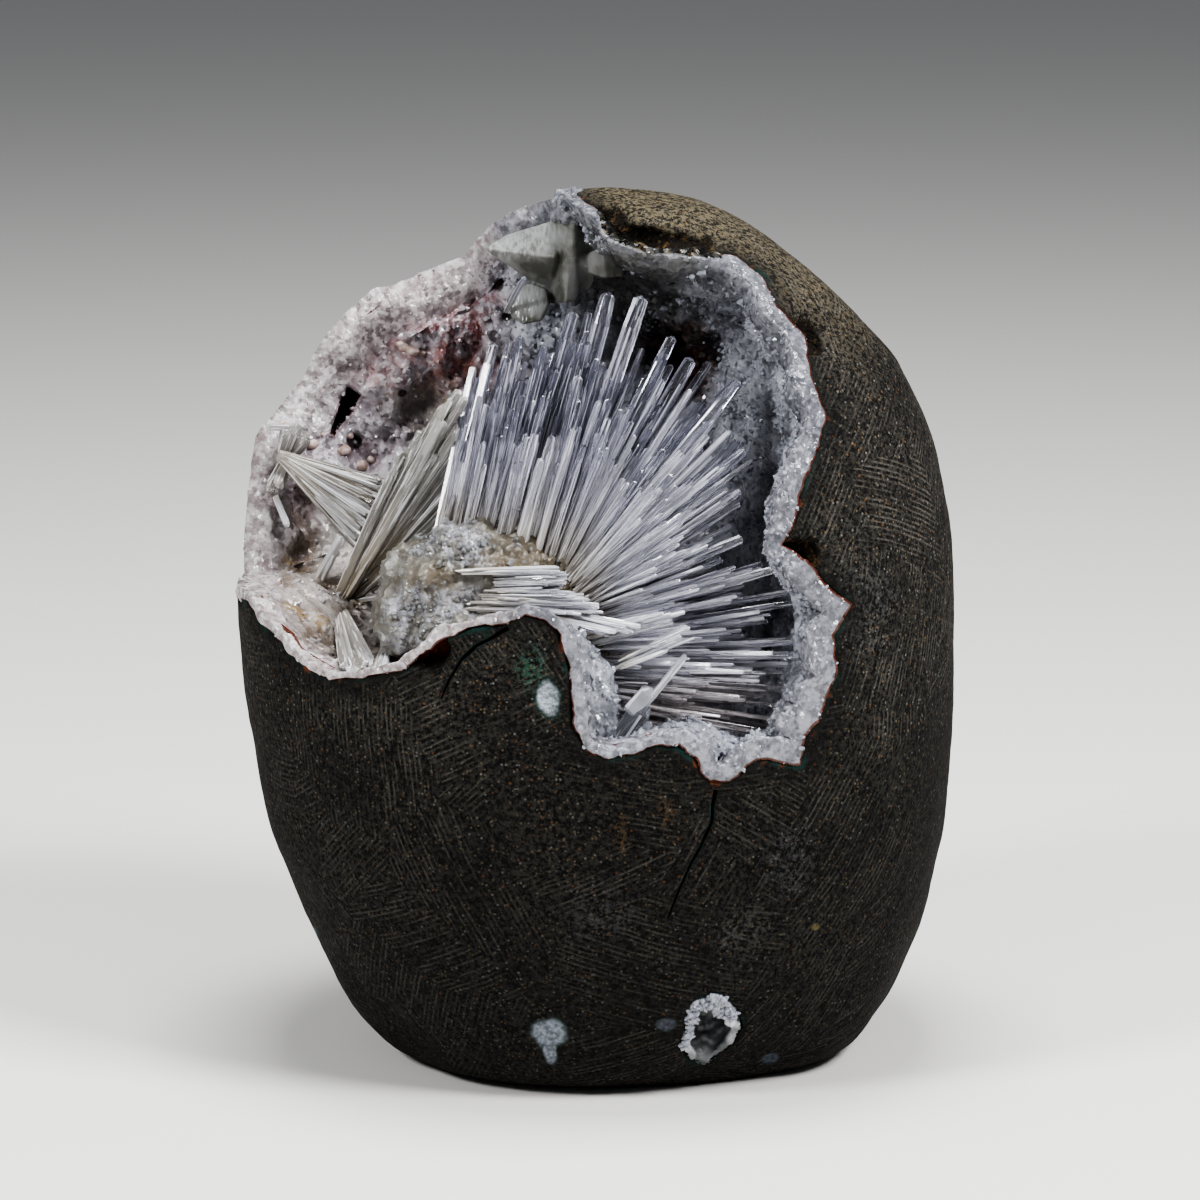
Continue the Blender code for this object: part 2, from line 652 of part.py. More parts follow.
def build_all():
    clear_scene()
    rng = random.Random(SEED)
    basalt = stone_material("basalt", (0.075, 0.066, 0.054), 0.85)
    druse = stone_material("quartz_druse", (0.78, 0.77, 0.76), 0.35)

    shape = outside_shape()
    outside = BVHTree.FromBMesh(shape)
    nodule = object_from("basalt_nodule", shape, basalt)
    rim, lips = mouth_rim(outside)
    deep = -MOUTH_FACES
    rows, end = wall_rows(rim, HOLLOW_MIDDLE, deep, main_reach, HOLLOW_STEPS)
    far_out = HOLLOW_MIDDLE + MOUTH_FACES * 190 * MM
    room = room_shape(rim, rows, end, HOLLOW_MIDDLE, 22 * MM, far_out)
    combine(nodule, room, "DIFFERENCE")

    shape = lining_shape(outside, rim, lips, rows, end, CRUST_THICK, LUMP_HEIGHT, CLEARANCE)
    wall = BVHTree.FromBMesh(shape)
    crust = object_from("crystal_crust", shape, druse)
    shape = bmesh.new()
    add_growths(shape, rng, wall)
    growths = object_from("growths", facing_out(shape))
    gap = CLEARANCE * 1.2
    inner = offset_rows(rows, end, gap)
    room = room_shape(rim, inner, end - deep * gap, HOLLOW_MIDDLE, 22 * MM, far_out)
    combine(growths, room, "INTERSECT", own_overlaps=True)
    combine(crust, growths, "UNION", own_overlaps=True)
    combine(crust, slot_cutter(wall), "DIFFERENCE")
    pocket = on_wall(wall, *POCKET_MM[0])
    combine(crust, lump_cutter(pocket, POCKET_MM[1]), "DIFFERENCE")
    keep_outer_skin(crust)

    combine(nodule, lump_cutter(pocket, POCKET_MM[1]), "DIFFERENCE")
    for place, reach in CHIPS_MM:
        combine(nodule, lump_cutter(on_outside(outside, *place), reach), "DIFFERENCE")
    for path in CRACKS_MM:
        combine(nodule, crack_cutter(outside, path), "DIFFERENCE")
    room, lining = vug_shapes(outside)
    combine(nodule, room, "DIFFERENCE")
    object_from("small_vug_crust", lining, druse)


if __name__ == "__main__":
    build_all()
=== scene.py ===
"""The looks of a scolecite geode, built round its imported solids."""

import math
import random

import bpy
import numpy as np
from mathutils import Matrix, Vector, noise
from mathutils.bvhtree import BVHTree
from mathutils.kdtree import KDTree


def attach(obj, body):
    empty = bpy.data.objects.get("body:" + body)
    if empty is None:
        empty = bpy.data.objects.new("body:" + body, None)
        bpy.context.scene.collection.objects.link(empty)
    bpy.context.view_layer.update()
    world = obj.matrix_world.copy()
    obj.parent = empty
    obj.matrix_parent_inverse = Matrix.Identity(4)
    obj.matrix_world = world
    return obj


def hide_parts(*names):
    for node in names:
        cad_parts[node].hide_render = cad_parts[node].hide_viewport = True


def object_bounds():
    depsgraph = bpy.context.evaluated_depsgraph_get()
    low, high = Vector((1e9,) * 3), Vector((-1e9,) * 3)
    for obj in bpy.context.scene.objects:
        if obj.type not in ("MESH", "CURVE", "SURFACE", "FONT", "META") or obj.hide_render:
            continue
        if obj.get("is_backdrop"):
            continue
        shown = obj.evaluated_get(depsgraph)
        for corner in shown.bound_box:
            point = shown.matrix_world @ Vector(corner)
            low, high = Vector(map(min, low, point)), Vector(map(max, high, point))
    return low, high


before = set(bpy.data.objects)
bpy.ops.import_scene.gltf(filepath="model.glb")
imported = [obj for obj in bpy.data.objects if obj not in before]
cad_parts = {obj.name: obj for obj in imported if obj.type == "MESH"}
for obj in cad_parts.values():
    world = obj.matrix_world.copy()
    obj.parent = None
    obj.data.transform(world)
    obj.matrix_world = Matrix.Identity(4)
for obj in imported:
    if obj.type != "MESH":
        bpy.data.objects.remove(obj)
cad_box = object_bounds()
bpy.ops.object.select_all(action="DESELECT")
MM = 0.001

# The nodule.
# Dark grey-brown basalt with fine speckles, ground on a coarse wheel that left patches of
# parallel marks. Gas bubbles filled with quartz show as pale spots. Everything else sits in it.


def copy_of(node, name):
    """A copy of a solid as a piece of its own, with its loose triangles joined."""
    made = bpy.data.objects.new(name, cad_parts[node].data.copy())
    bpy.context.scene.collection.objects.link(made)
    made.data.materials.clear()
    only(made)
    bpy.ops.object.mode_set(mode="EDIT")
    bpy.ops.mesh.select_all(action="SELECT")
    bpy.ops.mesh.remove_doubles(threshold=1e-6)
    bpy.ops.object.mode_set(mode="OBJECT")
    return made


def only(piece):
    bpy.ops.object.select_all(action="DESELECT")
    piece.select_set(True)
    bpy.context.view_layer.objects.active = piece


def wrapped(piece, hull=True):
    """Turns the piece into its convex hull where that is asked for, and its faces outwards."""
    only(piece)
    bpy.ops.object.mode_set(mode="EDIT")
    bpy.ops.mesh.select_all(action="SELECT")
    if hull:
        bpy.ops.mesh.convex_hull()
    bpy.ops.mesh.normals_make_consistent(inside=False)
    bpy.ops.object.mode_set(mode="OBJECT")


def finish_with(piece, kind, **settings):
    """Adds a modifier to the piece and applies it."""
    step = piece.modifiers.new(kind.title(), kind)
    for key, value in settings.items():
        setattr(step, key, value)
    only(piece)
    bpy.ops.object.modifier_apply(modifier=step.name)


def points_of(piece):
    flat = np.empty(len(piece.data.vertices) * 3)
    piece.data.vertices.foreach_get("co", flat)
    return flat.reshape(-1, 3)


def tree_of(piece):
    graph = bpy.context.evaluated_depsgraph_get()
    graph.update()
    return BVHTree.FromObject(piece, graph)


def note(piece, name, values, kind="FLOAT"):
    """Stores a value for each point of the piece, for its material to read."""
    field = piece.data.attributes.new(name, kind, "POINT")
    key = "vector" if kind == "FLOAT_VECTOR" else "value"
    field.data.foreach_set(key, np.asarray(values, np.float32).ravel())


def relief(piece, kind, size, strength, group="", **settings):
    """Raises and lowers the surface by a cloudy or a cell pattern."""
    pattern = bpy.data.textures.new(piece.name + kind, kind)
    pattern.noise_scale = size
    for key, value in settings.items():
        setattr(pattern, key, value)
    finish_with(piece, "DISPLACE", texture=pattern, strength=strength, mid_level=0.5,
                vertex_group=group, texture_coords="LOCAL")


def new_finish(name, values):
    finish = bpy.data.materials.new(name)
    finish.use_nodes = True
    shader = finish.node_tree.nodes["Principled BSDF"]
    for key, value in values.items():
        shader.inputs[key].default_value = value
    return finish, finish.node_tree, shader


def node(tree, kind, inputs=None, **settings):
    made = tree.nodes.new("ShaderNode" + kind)
    for key, value in settings.items():
        setattr(made, key, value)
    for key, value in (inputs or {}).items():
        if isinstance(value, bpy.types.NodeSocket):
            tree.links.new(value, made.inputs[key])
        else:
            made.inputs[key].default_value = value
    return made


def object_place(tree):
    return node(tree, "TexCoord").outputs["Object"]


def stored(tree, name, output="Fac"):
    return node(tree, "Attribute", attribute_name=name).outputs[output]


cloud_nodes = {}


def clouds(tree, place, scale, detail=2, rough=0.5):
    """Cloudy values from 0 to 1. The same settings in one material share a node."""
    key = (tree.as_pointer(), place.as_pointer(), scale, detail, rough)
    if key not in cloud_nodes:
        values = {"Vector": place, "Scale": scale, "Detail": detail, "Roughness": rough}
        cloud_nodes[key] = node(tree, "TexNoise", values).name
    return tree.nodes[cloud_nodes[key]].outputs["Fac"]


def level(tree, value, low, high, to_low=0.0, to_high=1.0):
    values = {0: value, 1: low, 2: high, 3: to_low, 4: to_high}
    return node(tree, "MapRange", values, interpolation_type="SMOOTHSTEP").outputs[0]


def calc(tree, how, first, second=0.0):
    return node(tree, "Math", {0: first, 1: second}, operation=how).outputs[0]


def times(tree, first, second):
    return calc(tree, "MULTIPLY", first, second)


def plus(tree, first, second):
    return calc(tree, "ADD", first, second)


def vector(tree, how, first, second=(0, 0, 0), output="Vector"):
    values = {0: first, 3 if how == "SCALE" else 1: second}
    return node(tree, "VectorMath", values, operation=how).outputs[output]


def tint(tree, share, first, second, how="MIX"):
    ends = [(*c, 1) if isinstance(c, tuple) and len(c) == 3 else c for c in (first, second)]
    values = {0: share, 6: ends[0], 7: ends[1]}
    return node(tree, "Mix", values, data_type="RGBA", blend_type=how).outputs[2]


def spot(tree, place, middle, reach, turn=0.0, ragged=0.5, size=300, soft=0.25):
    """One inside a ragged spot round a place, and nought outside it."""
    moved = vector(tree, "SUBTRACT", place, tuple(middle))
    if turn:
        values = {"Vector": moved, "Angle": turn, "Axis": (0, 1, 0)}
        moved = node(tree, "VectorRotate", values).outputs[0]
    share = vector(tree, "LENGTH", vector(tree, "DIVIDE", moved, tuple(reach)), output="Value")
    edge = times(tree, calc(tree, "SUBTRACT", clouds(tree, place, size, 3), 0.5), ragged * 2)
    return level(tree, plus(tree, share, edge), 1 + soft, 1 - soft)


rock = copy_of("basalt_nodule", "ground_basalt")
finish_with(rock, "REMESH", mode="VOXEL", voxel_size=1.28 * MM)

hull = copy_of("basalt_nodule", "hull")
wrapped(hull)
hull_tree = tree_of(hull)
bpy.data.objects.remove(hull, do_unlink=True)
cut_away = [v.co for v in rock.data.vertices if hull_tree.find_nearest(v.co)[3] > 0.75 * MM]
cuts = KDTree(len(cut_away))
for k, place in enumerate(cut_away):
    cuts.insert(place, k)
cuts.balance()
even = rock.vertex_groups.new(name="even")
for v in rock.data.vertices:
    share = min(1, max(0, (cuts.find(v.co)[2] - 1.5 * MM) / (7 * MM))) * min(1, max(0, v.co.z / (6 * MM)))
    even.add([v.index], share, "REPLACE")
finish_with(rock, "SMOOTH", factor=0.5, iterations=90, vertex_group="even")
relief(rock, "CLOUDS", 22 * MM, 0.9 * MM, "even")
relief(rock, "CLOUDS", 4 * MM, 0.28 * MM, "even")
bpy.ops.object.shade_smooth()
note(rock, "broken", [hull_tree.find_nearest(v.co)[3] / MM for v in rock.data.vertices])
crust_trees = [tree_of(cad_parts[name]) for name in ("crystal_crust", "small_vug_crust")]
for name, crust_tree in zip(("from_crust", "from_vug"), crust_trees):
    far = [crust_tree.find_nearest(v.co, 20 * MM)[3] for v in rock.data.vertices]
    note(rock, name, [20 if d is None else d / MM for d in far])
rock.vertex_groups.clear()

# The camera stands a metre off and looks 12 degrees down. The picture is 1200 points wide.
VIEW_CENTRE = Vector((0, 0, 103)) * MM
VIEW_DOWN = math.radians(12)
VIEW_UP = Vector((0, math.sin(VIEW_DOWN), math.cos(VIEW_DOWN)))
EYE = VIEW_CENTRE + Vector((0, -math.cos(VIEW_DOWN), math.sin(VIEW_DOWN)))
PICTURE_MIDDLE = 600
POINTS_PER_METRE = 4400


def sight(px, py):
    """The line from the eye through a place in the upright picture, in picture points."""
    right, up = (px - PICTURE_MIDDLE) / POINTS_PER_METRE, (PICTURE_MIDDLE - py) / POINTS_PER_METRE
    return (VIEW_CENTRE + Vector((right, 0, 0)) + VIEW_UP * up - EYE).normalized()


def seen(px, py, depth):
    """The point at that place in the picture and at the Y of depth millimetres."""
    line = sight(px, py)
    return EYE + line * ((depth * MM - EYE.y) / line.y)


def net(name, points, faces):
    made = bpy.data.objects.new(name, bpy.data.meshes.new(name))
    made.data.from_pydata([tuple(p) for p in points], [], faces)
    bpy.context.scene.collection.objects.link(made)
    return made


# Two cracks that run from the rim down the front.
rock_tree = tree_of(rock)
for course in (
    ((508, 628), (492, 638), (476, 646), (461, 660), (449, 680), (441, 699)),
    ((716, 790), (713, 804), (712, 822), (701, 846), (690, 866), (679, 890), (668, 918)),
):
    hits = [rock_tree.ray_cast(EYE, sight(px, py))[:2] for px, py in course]
    corners, count = [], len(hits)
    for k, (at, way) in enumerate(hits):
        run = (hits[min(k + 1, count - 1)][0] - hits[max(k - 1, 0)][0]).normalized()
        aside = run.cross(way).normalized() * (0.62 - 0.36 * k / (count - 1)) * MM
        corners += [at + aside + way * MM, at - aside + way * MM, at - way * 3 * MM]
    sides = [(0, 1, 2), (3 * count - 1, 3 * count - 2, 3 * count - 3)]
    for k in range(0, 3 * count - 3, 3):
        sides += [(k + a, k + a + 3, k + b + 3, k + b) for a, b in ((0, 1), (1, 2), (2, 0))]
    crack = net("crack", corners, sides)
    wrapped(crack, hull=False)
    finish_with(rock, "BOOLEAN", operation="DIFFERENCE", object=crack, solver="MANIFOLD")
    bpy.data.objects.remove(crack, do_unlink=True)

basalt, tree, shader = new_finish("basalt", {"Roughness": 0.82, "Specular IOR Level": 0.22})
place = object_place(tree)
tone = level(tree, clouds(tree, place, 900, 4, 0.8), 0.42, 0.6)
colour = tint(tree, tone, (0.0022, 0.0021, 0.0018), (0.052, 0.048, 0.041))
dark = level(tree, clouds(tree, place, 45, 4), 0.3, 0.7, 0.0, 0.45)
colour = tint(tree, dark, colour, (0.006, 0.0055, 0.005))
grains = node(tree, "TexVoronoi", {"Vector": place, "Scale": 1300})
parts = node(tree, "SeparateColor", {0: grains.outputs["Color"]})
near = level(tree, grains.outputs["Distance"], 0.5, 0.25)
GRAINS = ((0.86, (0.17, 0.125, 0.075)), (0.95, (0.2, 0.09, 0.03)), (0.93, (0.2, 0.2, 0.19)))
for k, (low, shade) in enumerate(GRAINS):
    mask = times(tree, level(tree, parts.outputs[k], low, low + 0.04), near)
    colour = tint(tree, times(tree, mask, 0.65), colour, shade)
# The upper rim is painted browner and lighter: partly its brown colour, partly painted light from above.
height = node(tree, "SeparateXYZ", {0: place}).outputs[2]
upper = level(tree, plus(tree, height, times(tree, clouds(tree, place, 60, 3), 0.03)), 0.168, 0.208)
colour = tint(tree, times(tree, upper, level(tree, tone, 0, 1, 0.05, 0.9)), colour, (0.15, 0.125, 0.08))
# The grinder's marks: in each patch they run one way, along the surface.
wobble = vector(tree, "SCALE", node(tree, "TexNoise", {"Vector": place, "Scale": 60}).outputs["Color"], 0.014)
patch = node(tree, "TexVoronoi", {"Vector": vector(tree, "ADD", place, wobble), "Scale": 34})
middle = patch.outputs["Position"]
outwards = vector(tree, "MULTIPLY", vector(tree, "SUBTRACT", middle, (0, 0, 0.1)), (1, 1.5, 0.7))
any_way = vector(tree, "SUBTRACT", patch.outputs["Color"], (0.5, 0.5, 0.5))
over = vector(tree, "NORMALIZE", vector(tree, "CROSS_PRODUCT", outwards, any_way))
down = vector(tree, "NORMALIZE", vector(tree, "CROSS_PRODUCT", outwards, over))
local = vector(tree, "SUBTRACT", place, middle)
along = vector(tree, "DOT_PRODUCT", local, over, "Value")
aside = vector(tree, "DOT_PRODUCT", local, down, "Value")
laid = node(tree, "CombineXYZ", {0: along, 1: aside}).outputs[0]
laid = vector(tree, "ADD", laid, vector(tree, "SCALE", patch.outputs["Color"], 0.5))
marks = node(tree, "TexWave", {
    "Vector": vector(tree, "MULTIPLY", laid, (1, 0.2, 1)), "Scale": 270, "Distortion": 2.2, "Detail": 3,
    "Detail Scale": 1.6, "Detail Roughness": 0.6,
}).outputs["Fac"]  # fmt: skip
held = level(tree, clouds(tree, vector(tree, "MULTIPLY", laid, (700, 110, 70)), 1, 3, 0.6), 0.4, 0.62)
marks = times(tree, level(tree, marks, 0.4, 0.95), held)
worn = level(tree, clouds(tree, place, 34, 3), 0.36, 0.56, 0.15, 1.0)
marks = times(tree, times(tree, marks, worn), level(tree, clouds(tree, place, 1700, 2), 0.35, 0.6, 0.3, 1))
colour = tint(tree, times(tree, marks, 0.85), colour, (0.115, 0.107, 0.093))
# Lower down the rock is painted blacker: painted shade, where the light from above falls off.
painted_low_shade = level(tree, plus(tree, height, times(tree, clouds(tree, place, 60, 3), 0.04)), 0.06, 0.15, 0.5, 0)
colour = tint(tree, painted_low_shade, colour, (0, 0, 0))
# Bubbles that quartz and green earth filled, a thin vein, and rusty grains.
for middle, reach, turn, shade, halo in (
    ((-11.1, -65.8, 95.6), (2.3, 9, 3.4), 0.25, (0.36, 0.4, 0.44), 1.35),
    ((-11.2, -53.7, 17.2), (3.6, 9, 3.6), 0.0, (0.2, 0.22, 0.25), 1.15),
    ((-11.0, -53.7, 12.6), (1.4, 9, 3.2), 0.1, (0.2, 0.22, 0.25), 1.15),
    ((14.5, -54.4, 19.4), (2.2, 9, 1.6), 0.0, (0.07, 0.075, 0.09), 1.1),
    ((38.0, -37.2, 6.5), (1.8, 9, 1.6), 0.0, (0.06, 0.07, 0.09), 1.1),
    ((47.1, -51.2, 40.7), (1.0, 9, 0.9), 0.0, (0.09, 0.075, 0.035), 1.1),
    ((-68, -8.0, 24.0), (1.4, 14, 12), -0.5, (0.16, 0.2, 0.24), 1.2),
    ((38, 44, 120), (4, 9, 3), 0.4, (0.26, 0.28, 0.3), 1.3),
    ((-30, 60, 70), (3, 9, 4), 0.0, (0.24, 0.27, 0.3), 1.3),
    ((70, 26, 60), (9, 2.6, 3.4), 0.0, (0.3, 0.33, 0.35), 1.3),
):
    at, wide = Vector(middle) * MM, Vector(reach) * MM
    ring = spot(tree, place, at, wide * halo, turn, 0.4)
    colour = tint(tree, times(tree, ring, 0.55), colour, (0.02, 0.05, 0.04))
    fill = level(tree, clouds(tree, place, 1100, 3), 0.3, 0.7, 0.55, 1.25)
    inner = vector(tree, "SCALE", shade, fill)
    colour = tint(tree, spot(tree, place, at, wide, turn, 0.35), colour, inner)
for middle, reach, shade, most in (
    ((30.4, -57.7, 41), (5, 12, 6), (0.12, 0.117, 0.11), 0.35),
    ((41.1, -58.0, 57.8), (5, 12, 7), (0.085, 0.088, 0.1), 0.35),
    ((0.0, -63.0, 46.9), (7, 12, 6), (0.08, 0.083, 0.095), 0.28),
    ((58, -50, 112), (8, 12, 9), (0.11, 0.115, 0.125), 0.35),
    ((-14.5, -65.5, 102.5), (2.6, 5, 5), (0.02, 0.13, 0.09), 0.5),
    ((13.9, -65.4, 70), (2, 5, 3), (0.15, 0.08, 0.03), 0.4),
    ((4.7, -65.6, 66), (1.4, 5, 4), (0.14, 0.08, 0.03), 0.3),
):
    at, wide = Vector(middle) * MM, Vector(reach) * MM
    flecks = level(tree, clouds(tree, place, 900, 4, 0.8), 0.46, 0.6, 0, most)
    colour = tint(tree, times(tree, spot(tree, place, at, wide, 0, 0.9, 200, 0.6), flecks), colour, shade)
# Along the rim the rock is darker, partly its own colour and partly painted shade under the edge; where it is
# chipped the rock is rough, with rusty and ochre grains.
rim = level(tree, plus(tree, stored(tree, "from_crust"), times(tree, clouds(tree, place, 90, 3), 5)), 11, 4)
colour = tint(tree, times(tree, rim, 0.55), colour, (0.006, 0.0055, 0.005))
chipped = level(tree, plus(tree, stored(tree, "broken"), clouds(tree, place, 300, 4)), 1.3, 2.6)
raw = level(tree, clouds(tree, place, 420, 3, 0.7), 0.54, 0.66)
raw = tint(tree, raw, (0.009, 0.0065, 0.0045), (0.11, 0.065, 0.025))
colour = tint(tree, times(tree, chipped, 0.85), colour, raw)
# Green earth, and a little rust, along the edge of each hollow.
for name, reach in (("from_crust", 2.6), ("from_vug", 1.4)):
    distance = plus(tree, stored(tree, name), times(tree, clouds(tree, place, 250, 3), 2.0))
    skin = level(tree, distance, reach + 0.9, reach - 0.6)
    rusty = level(tree, clouds(tree, place, 320, 3), 0.6, 0.72)
    green = level(tree, clouds(tree, place, 120, 2), 0.45, 0.6)
    green = tint(tree, green, (0.012, 0.012, 0.01), (0.012, 0.035, 0.03))
    colour = tint(tree, skin, colour, tint(tree, rusty, green, (0.14, 0.045, 0.02)))
shard = times(tree, times(tree, clouds(tree, place, 260, 2, 0.7), stored(tree, "broken")), 1.6)
height = plus(tree, times(tree, clouds(tree, place, 1500, 1, 0.7), 1.6), shard)
bump = node(tree, "Bump", {"Height": height, "Strength": 1.0, "Distance": 0.32 * MM})
tree.links.new(colour, shader.inputs["Base Color"])
tree.links.new(bump.outputs[0], shader.inputs["Normal"])
rock.data.materials.clear()
rock.data.polygons.foreach_set("material_index", np.zeros(len(rock.data.polygons), np.int32))
rock.data.materials.append(basalt)
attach(rock, "root")
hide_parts("basalt_nodule")

# The lining of the main hollow.
# A crust of small quartz crystals 4 to 7 mm thick, grown on the hollow's wall and ground flush
# where the wheel cut it. It is pinkish and knobbly on the left, and blue-grey on the right.

# The edge of the mouth, from the left along the bottom and up the right. Each row is a place across
# and up from the view's centre and the width of the lining's lip there, in millimetres.
NEAR_EDGE_MM = (
    (-80, 0, 1.8), (-77, -5.5, 1.8), (-72.5, -9, 1.8), (-70.5, -12.5, 1.8), (-66, -15.5, 1.8),
    (-61.5, -18, 1.8), (-54, -17.5, 1.8), (-45, -16, 2), (-41, -12.5, 2), (-36.5, -9, 2),
    (-30, -6.5, 2), (-22, -5, 2), (-17, -3.5, 2), (-12, -4.5, 2), (-9, -8, 2),
    (-7, -14, 2.2), (-6.3, -22, 2.6), (-6, -28, 2.8), (-4, -33, 2.4), (1, -36, 1.8),
    (7, -35, 1.8), (12.5, -33, 2.2), (18, -33, 3.6), (21.5, -36, 3.8), (25, -41, 3.8),
    (29.5, -41.5, 4.4), (33, -38, 4.4), (36.5, -36, 4.8), (45.5, -37.5, 6.2), (46.5, -31, 6.4),
    (50, -27.5, 6.6), (51, -22.5, 6.8), (54, -17.5, 7), (53, -8, 7), (57, -1, 7),
    (51, 4, 5.5), (47, 9, 5), (41.5, 12.5, 4.4), (44, 18, 5), (46, 26, 5),
    (49, 34, 4.6), (51.5, 41, 4.6), (48, 51, 4.6), (46.5, 60, 4.2), (40, 66.5, 4),
    (37, 73.5, 3.8), (31, 78, 3.6), (22, 80, 3), (12, 80, 2.6), (4, 82.5, 2.4),
    (0, 88, 2.4), (-5.5, 92, 2.4),
)  # fmt: skip
# The far edge, on the slope behind, and the points where it comes round the left side.
FAR_EDGE_MM = (
    (-11, 91), (-16.5, 89), (-23.5, 85), (-29, 78), (-35.5, 74.5), (-44, 71), (-52, 69),
    (-57.5, 65), (-63, 57.5), (-67, 50), (-72, 43.5), (-78, 36), (-79.5, 25), (-80.5, 14),
    (-80.5, 5),
)  # fmt: skip
LEFT_EDGE_MM = ((-81, 9, 104.5), (-82, 1, 104.5), (-82, -8, 105.5), (-81, -17, 107))
FAR_LIP_MM = 2.6
# The solid lining starts this far in from the rock's edge and this far under the ground surface.
LIP_INSET_MM = 0.65
LIP_SUNK_MM = 0.4
# A corner of a solid counts as the rim's own within these distances.
ON_LINE_MM = 0.03
NEAR_GUESS_MM = 4
NEAR_INNER_MM = 2.2


def unit(rows):
    return rows / np.linalg.norm(rows, axis=-1, keepdims=True)


def corners_of(name):
    """The corners of one of the solids, in millimetres."""
    return np.unique(np.round(points_of(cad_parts[name]) / MM, 4), axis=0)


rock_corners = corners_of("basalt_nodule")
crust_corners = corners_of("crystal_crust")
both = net("both", np.concatenate([rock_corners, crust_corners]) * MM, [])
wrapped(both)
outside = tree_of(both)
bpy.data.objects.remove(both, do_unlink=True)


def on_outside(line, far):
    """Where a sight line meets the outside, on the near or the far slope."""
    start, way = (EYE + line * 2, -line) if far else (EYE, line)
    return outside.ray_cast(start, way)[0] or outside.find_nearest(EYE + line)[0]


def rim_ways(rim):
    """The directions out of the stone and into the mouth at each point of its edge."""
    along = np.roll(rim, -1, axis=0) - np.roll(rim, 1, axis=0)
    out = np.array([outside.find_nearest(Vector(p) * MM)[1] for p in rim])
    return out, unit(np.cross(out, along))


def off_line(corners, line):
    return np.linalg.norm(np.cross(corners - np.array(EYE) / MM, np.array(line)), axis=1)


places_seen = [row[:2] for row in NEAR_EDGE_MM + FAR_EDGE_MM]
per_mm = POINTS_PER_METRE * MM
lines = [sight(PICTURE_MIDDLE + across * per_mm, PICTURE_MIDDLE - up * per_mm) for across, up in places_seen]
guess = [on_outside(line, k >= len(NEAR_EDGE_MM)) for k, line in enumerate(lines)]
guess += [outside.find_nearest(Vector(place) * MM)[0] for place in LEFT_EDGE_MM]
guess = np.array(guess) / MM
out_ways, in_ways = rim_ways(guess)
edge = guess.copy()
for k, start in enumerate(guess):
    # The rock has a corner there, or where a chip took it away the lining has one beside it.
    beside = crust_corners - in_ways[k] * LIP_INSET_MM + out_ways[k] * LIP_SUNK_MM
    for corners, most in ((rock_corners, ON_LINE_MM), (beside, NEAR_GUESS_MM)):
        near = corners[np.linalg.norm(corners - start, axis=1) < NEAR_GUESS_MM]
        aside = off_line(near, lines[k]) if k < len(lines) else np.linalg.norm(near - start, axis=1)
        if len(near) and aside.min() < most:
            edge[k] = near[aside.argmin()]
            break
lip_widths = [row[2] for row in NEAR_EDGE_MM]
lip_widths = np.array(lip_widths + [FAR_LIP_MM] * (len(edge) - len(lip_widths)))
out_ways, in_ways = rim_ways(edge)
inner_edge = edge + in_ways * lip_widths[:, None] - out_ways * LIP_SUNK_MM
for k, start in enumerate(inner_edge):
    away = np.linalg.norm(crust_corners - start, axis=1)
    if away.min() < NEAR_INNER_MM:
        inner_edge[k] = crust_corners[away.argmin()]
inner_edge += rim_ways(inner_edge)[0] * LIP_SUNK_MM
rim = np.hstack([edge, inner_edge])

# The wall of the hollow, as the solids have it.
HOLLOW_MIDDLE_MM = np.array((-8.0, -8.0, 122.0))
DEEP = unit(np.array((0.354, 0.834, -0.423)))
WALL_STEPS = (0, 0.08, 0.21, 0.4, 0.68)
WALL_SPLITS = (8, 12, 19, 27, 26)
REACH_MM = ((62, 50), (46, 44), (56, 60))
SWELLS = (((-0.8, 0.25, -0.55), -0.22), ((0.72, -0.5, -0.48), 0.1))
FINER = 6


def ease(share):
    held = np.clip(share, 0, 1)
    return held * held * (3 - 2 * held)


def wall_reach(ways):
    """How far the hollow's wall stands from its middle in each direction."""
    low, high = np.array(REACH_MM).T
    sides = np.where(ways < 0, low, high)
    across = (np.abs(ways / sides) ** 2.5).sum(axis=1) ** 0.4
    swell = np.array([1 + 0.05 * noise.noise(Vector(way) * 2.4 + Vector((3.1, 7.7, 1.9))) for way in ways])
    for centre, share in SWELLS:
        swell += share * np.clip(ways @ unit(np.array(centre)), 0, None) ** 6
    return swell / across


def between(rows, count):
    """The closed loop with that many steps for each of its own."""
    after = np.roll(rows, -1, axis=0)
    return np.concatenate([[a + (b - a) * k / count for k in range(count)] for a, b in zip(rows, after)])


ways = unit(edge - HOLLOW_MIDDLE_MM)
calm = ways
for _ in range(14):
    calm = unit(np.roll(calm, 1, axis=0) + calm + np.roll(calm, -1, axis=0))
wall = []
for step in WALL_STEPS:
    start = unit(ways + (calm - ways) * ease(step / 0.3))
    angle = np.arccos(np.clip(start @ DEEP, -1, 1))[:, None]
    way = (start * np.sin((1 - step) * angle) + DEEP * np.sin(step * angle)) / np.sin(angle)
    spread = ease(step / 0.34)
    out = np.linalg.norm(edge - HOLLOW_MIDDLE_MM, axis=1) - 3
    reach = (1 - spread) * out + spread * wall_reach(way)
    wall.append(between(HOLLOW_MIDDLE_MM + way * reach[:, None], FINER))
wall_end = HOLLOW_MIDDLE_MM + DEEP * wall_reach(DEEP[None])[0]
wall.append(np.tile(wall_end, (len(wall[0]), 1)))
fine = np.concatenate([
    [a + (b - a) * k / count for k in range(count)] for a, b, count in zip(wall, wall[1:], WALL_SPLITS)
])  # fmt: skip
for _ in range(5):
    fine[1:-1] = (fine[:-2] + 2 * fine[1:-1] + fine[2:]) / 4
    fine = (np.roll(fine, 1, axis=1) + 2 * fine + np.roll(fine, -1, axis=1)) / 4


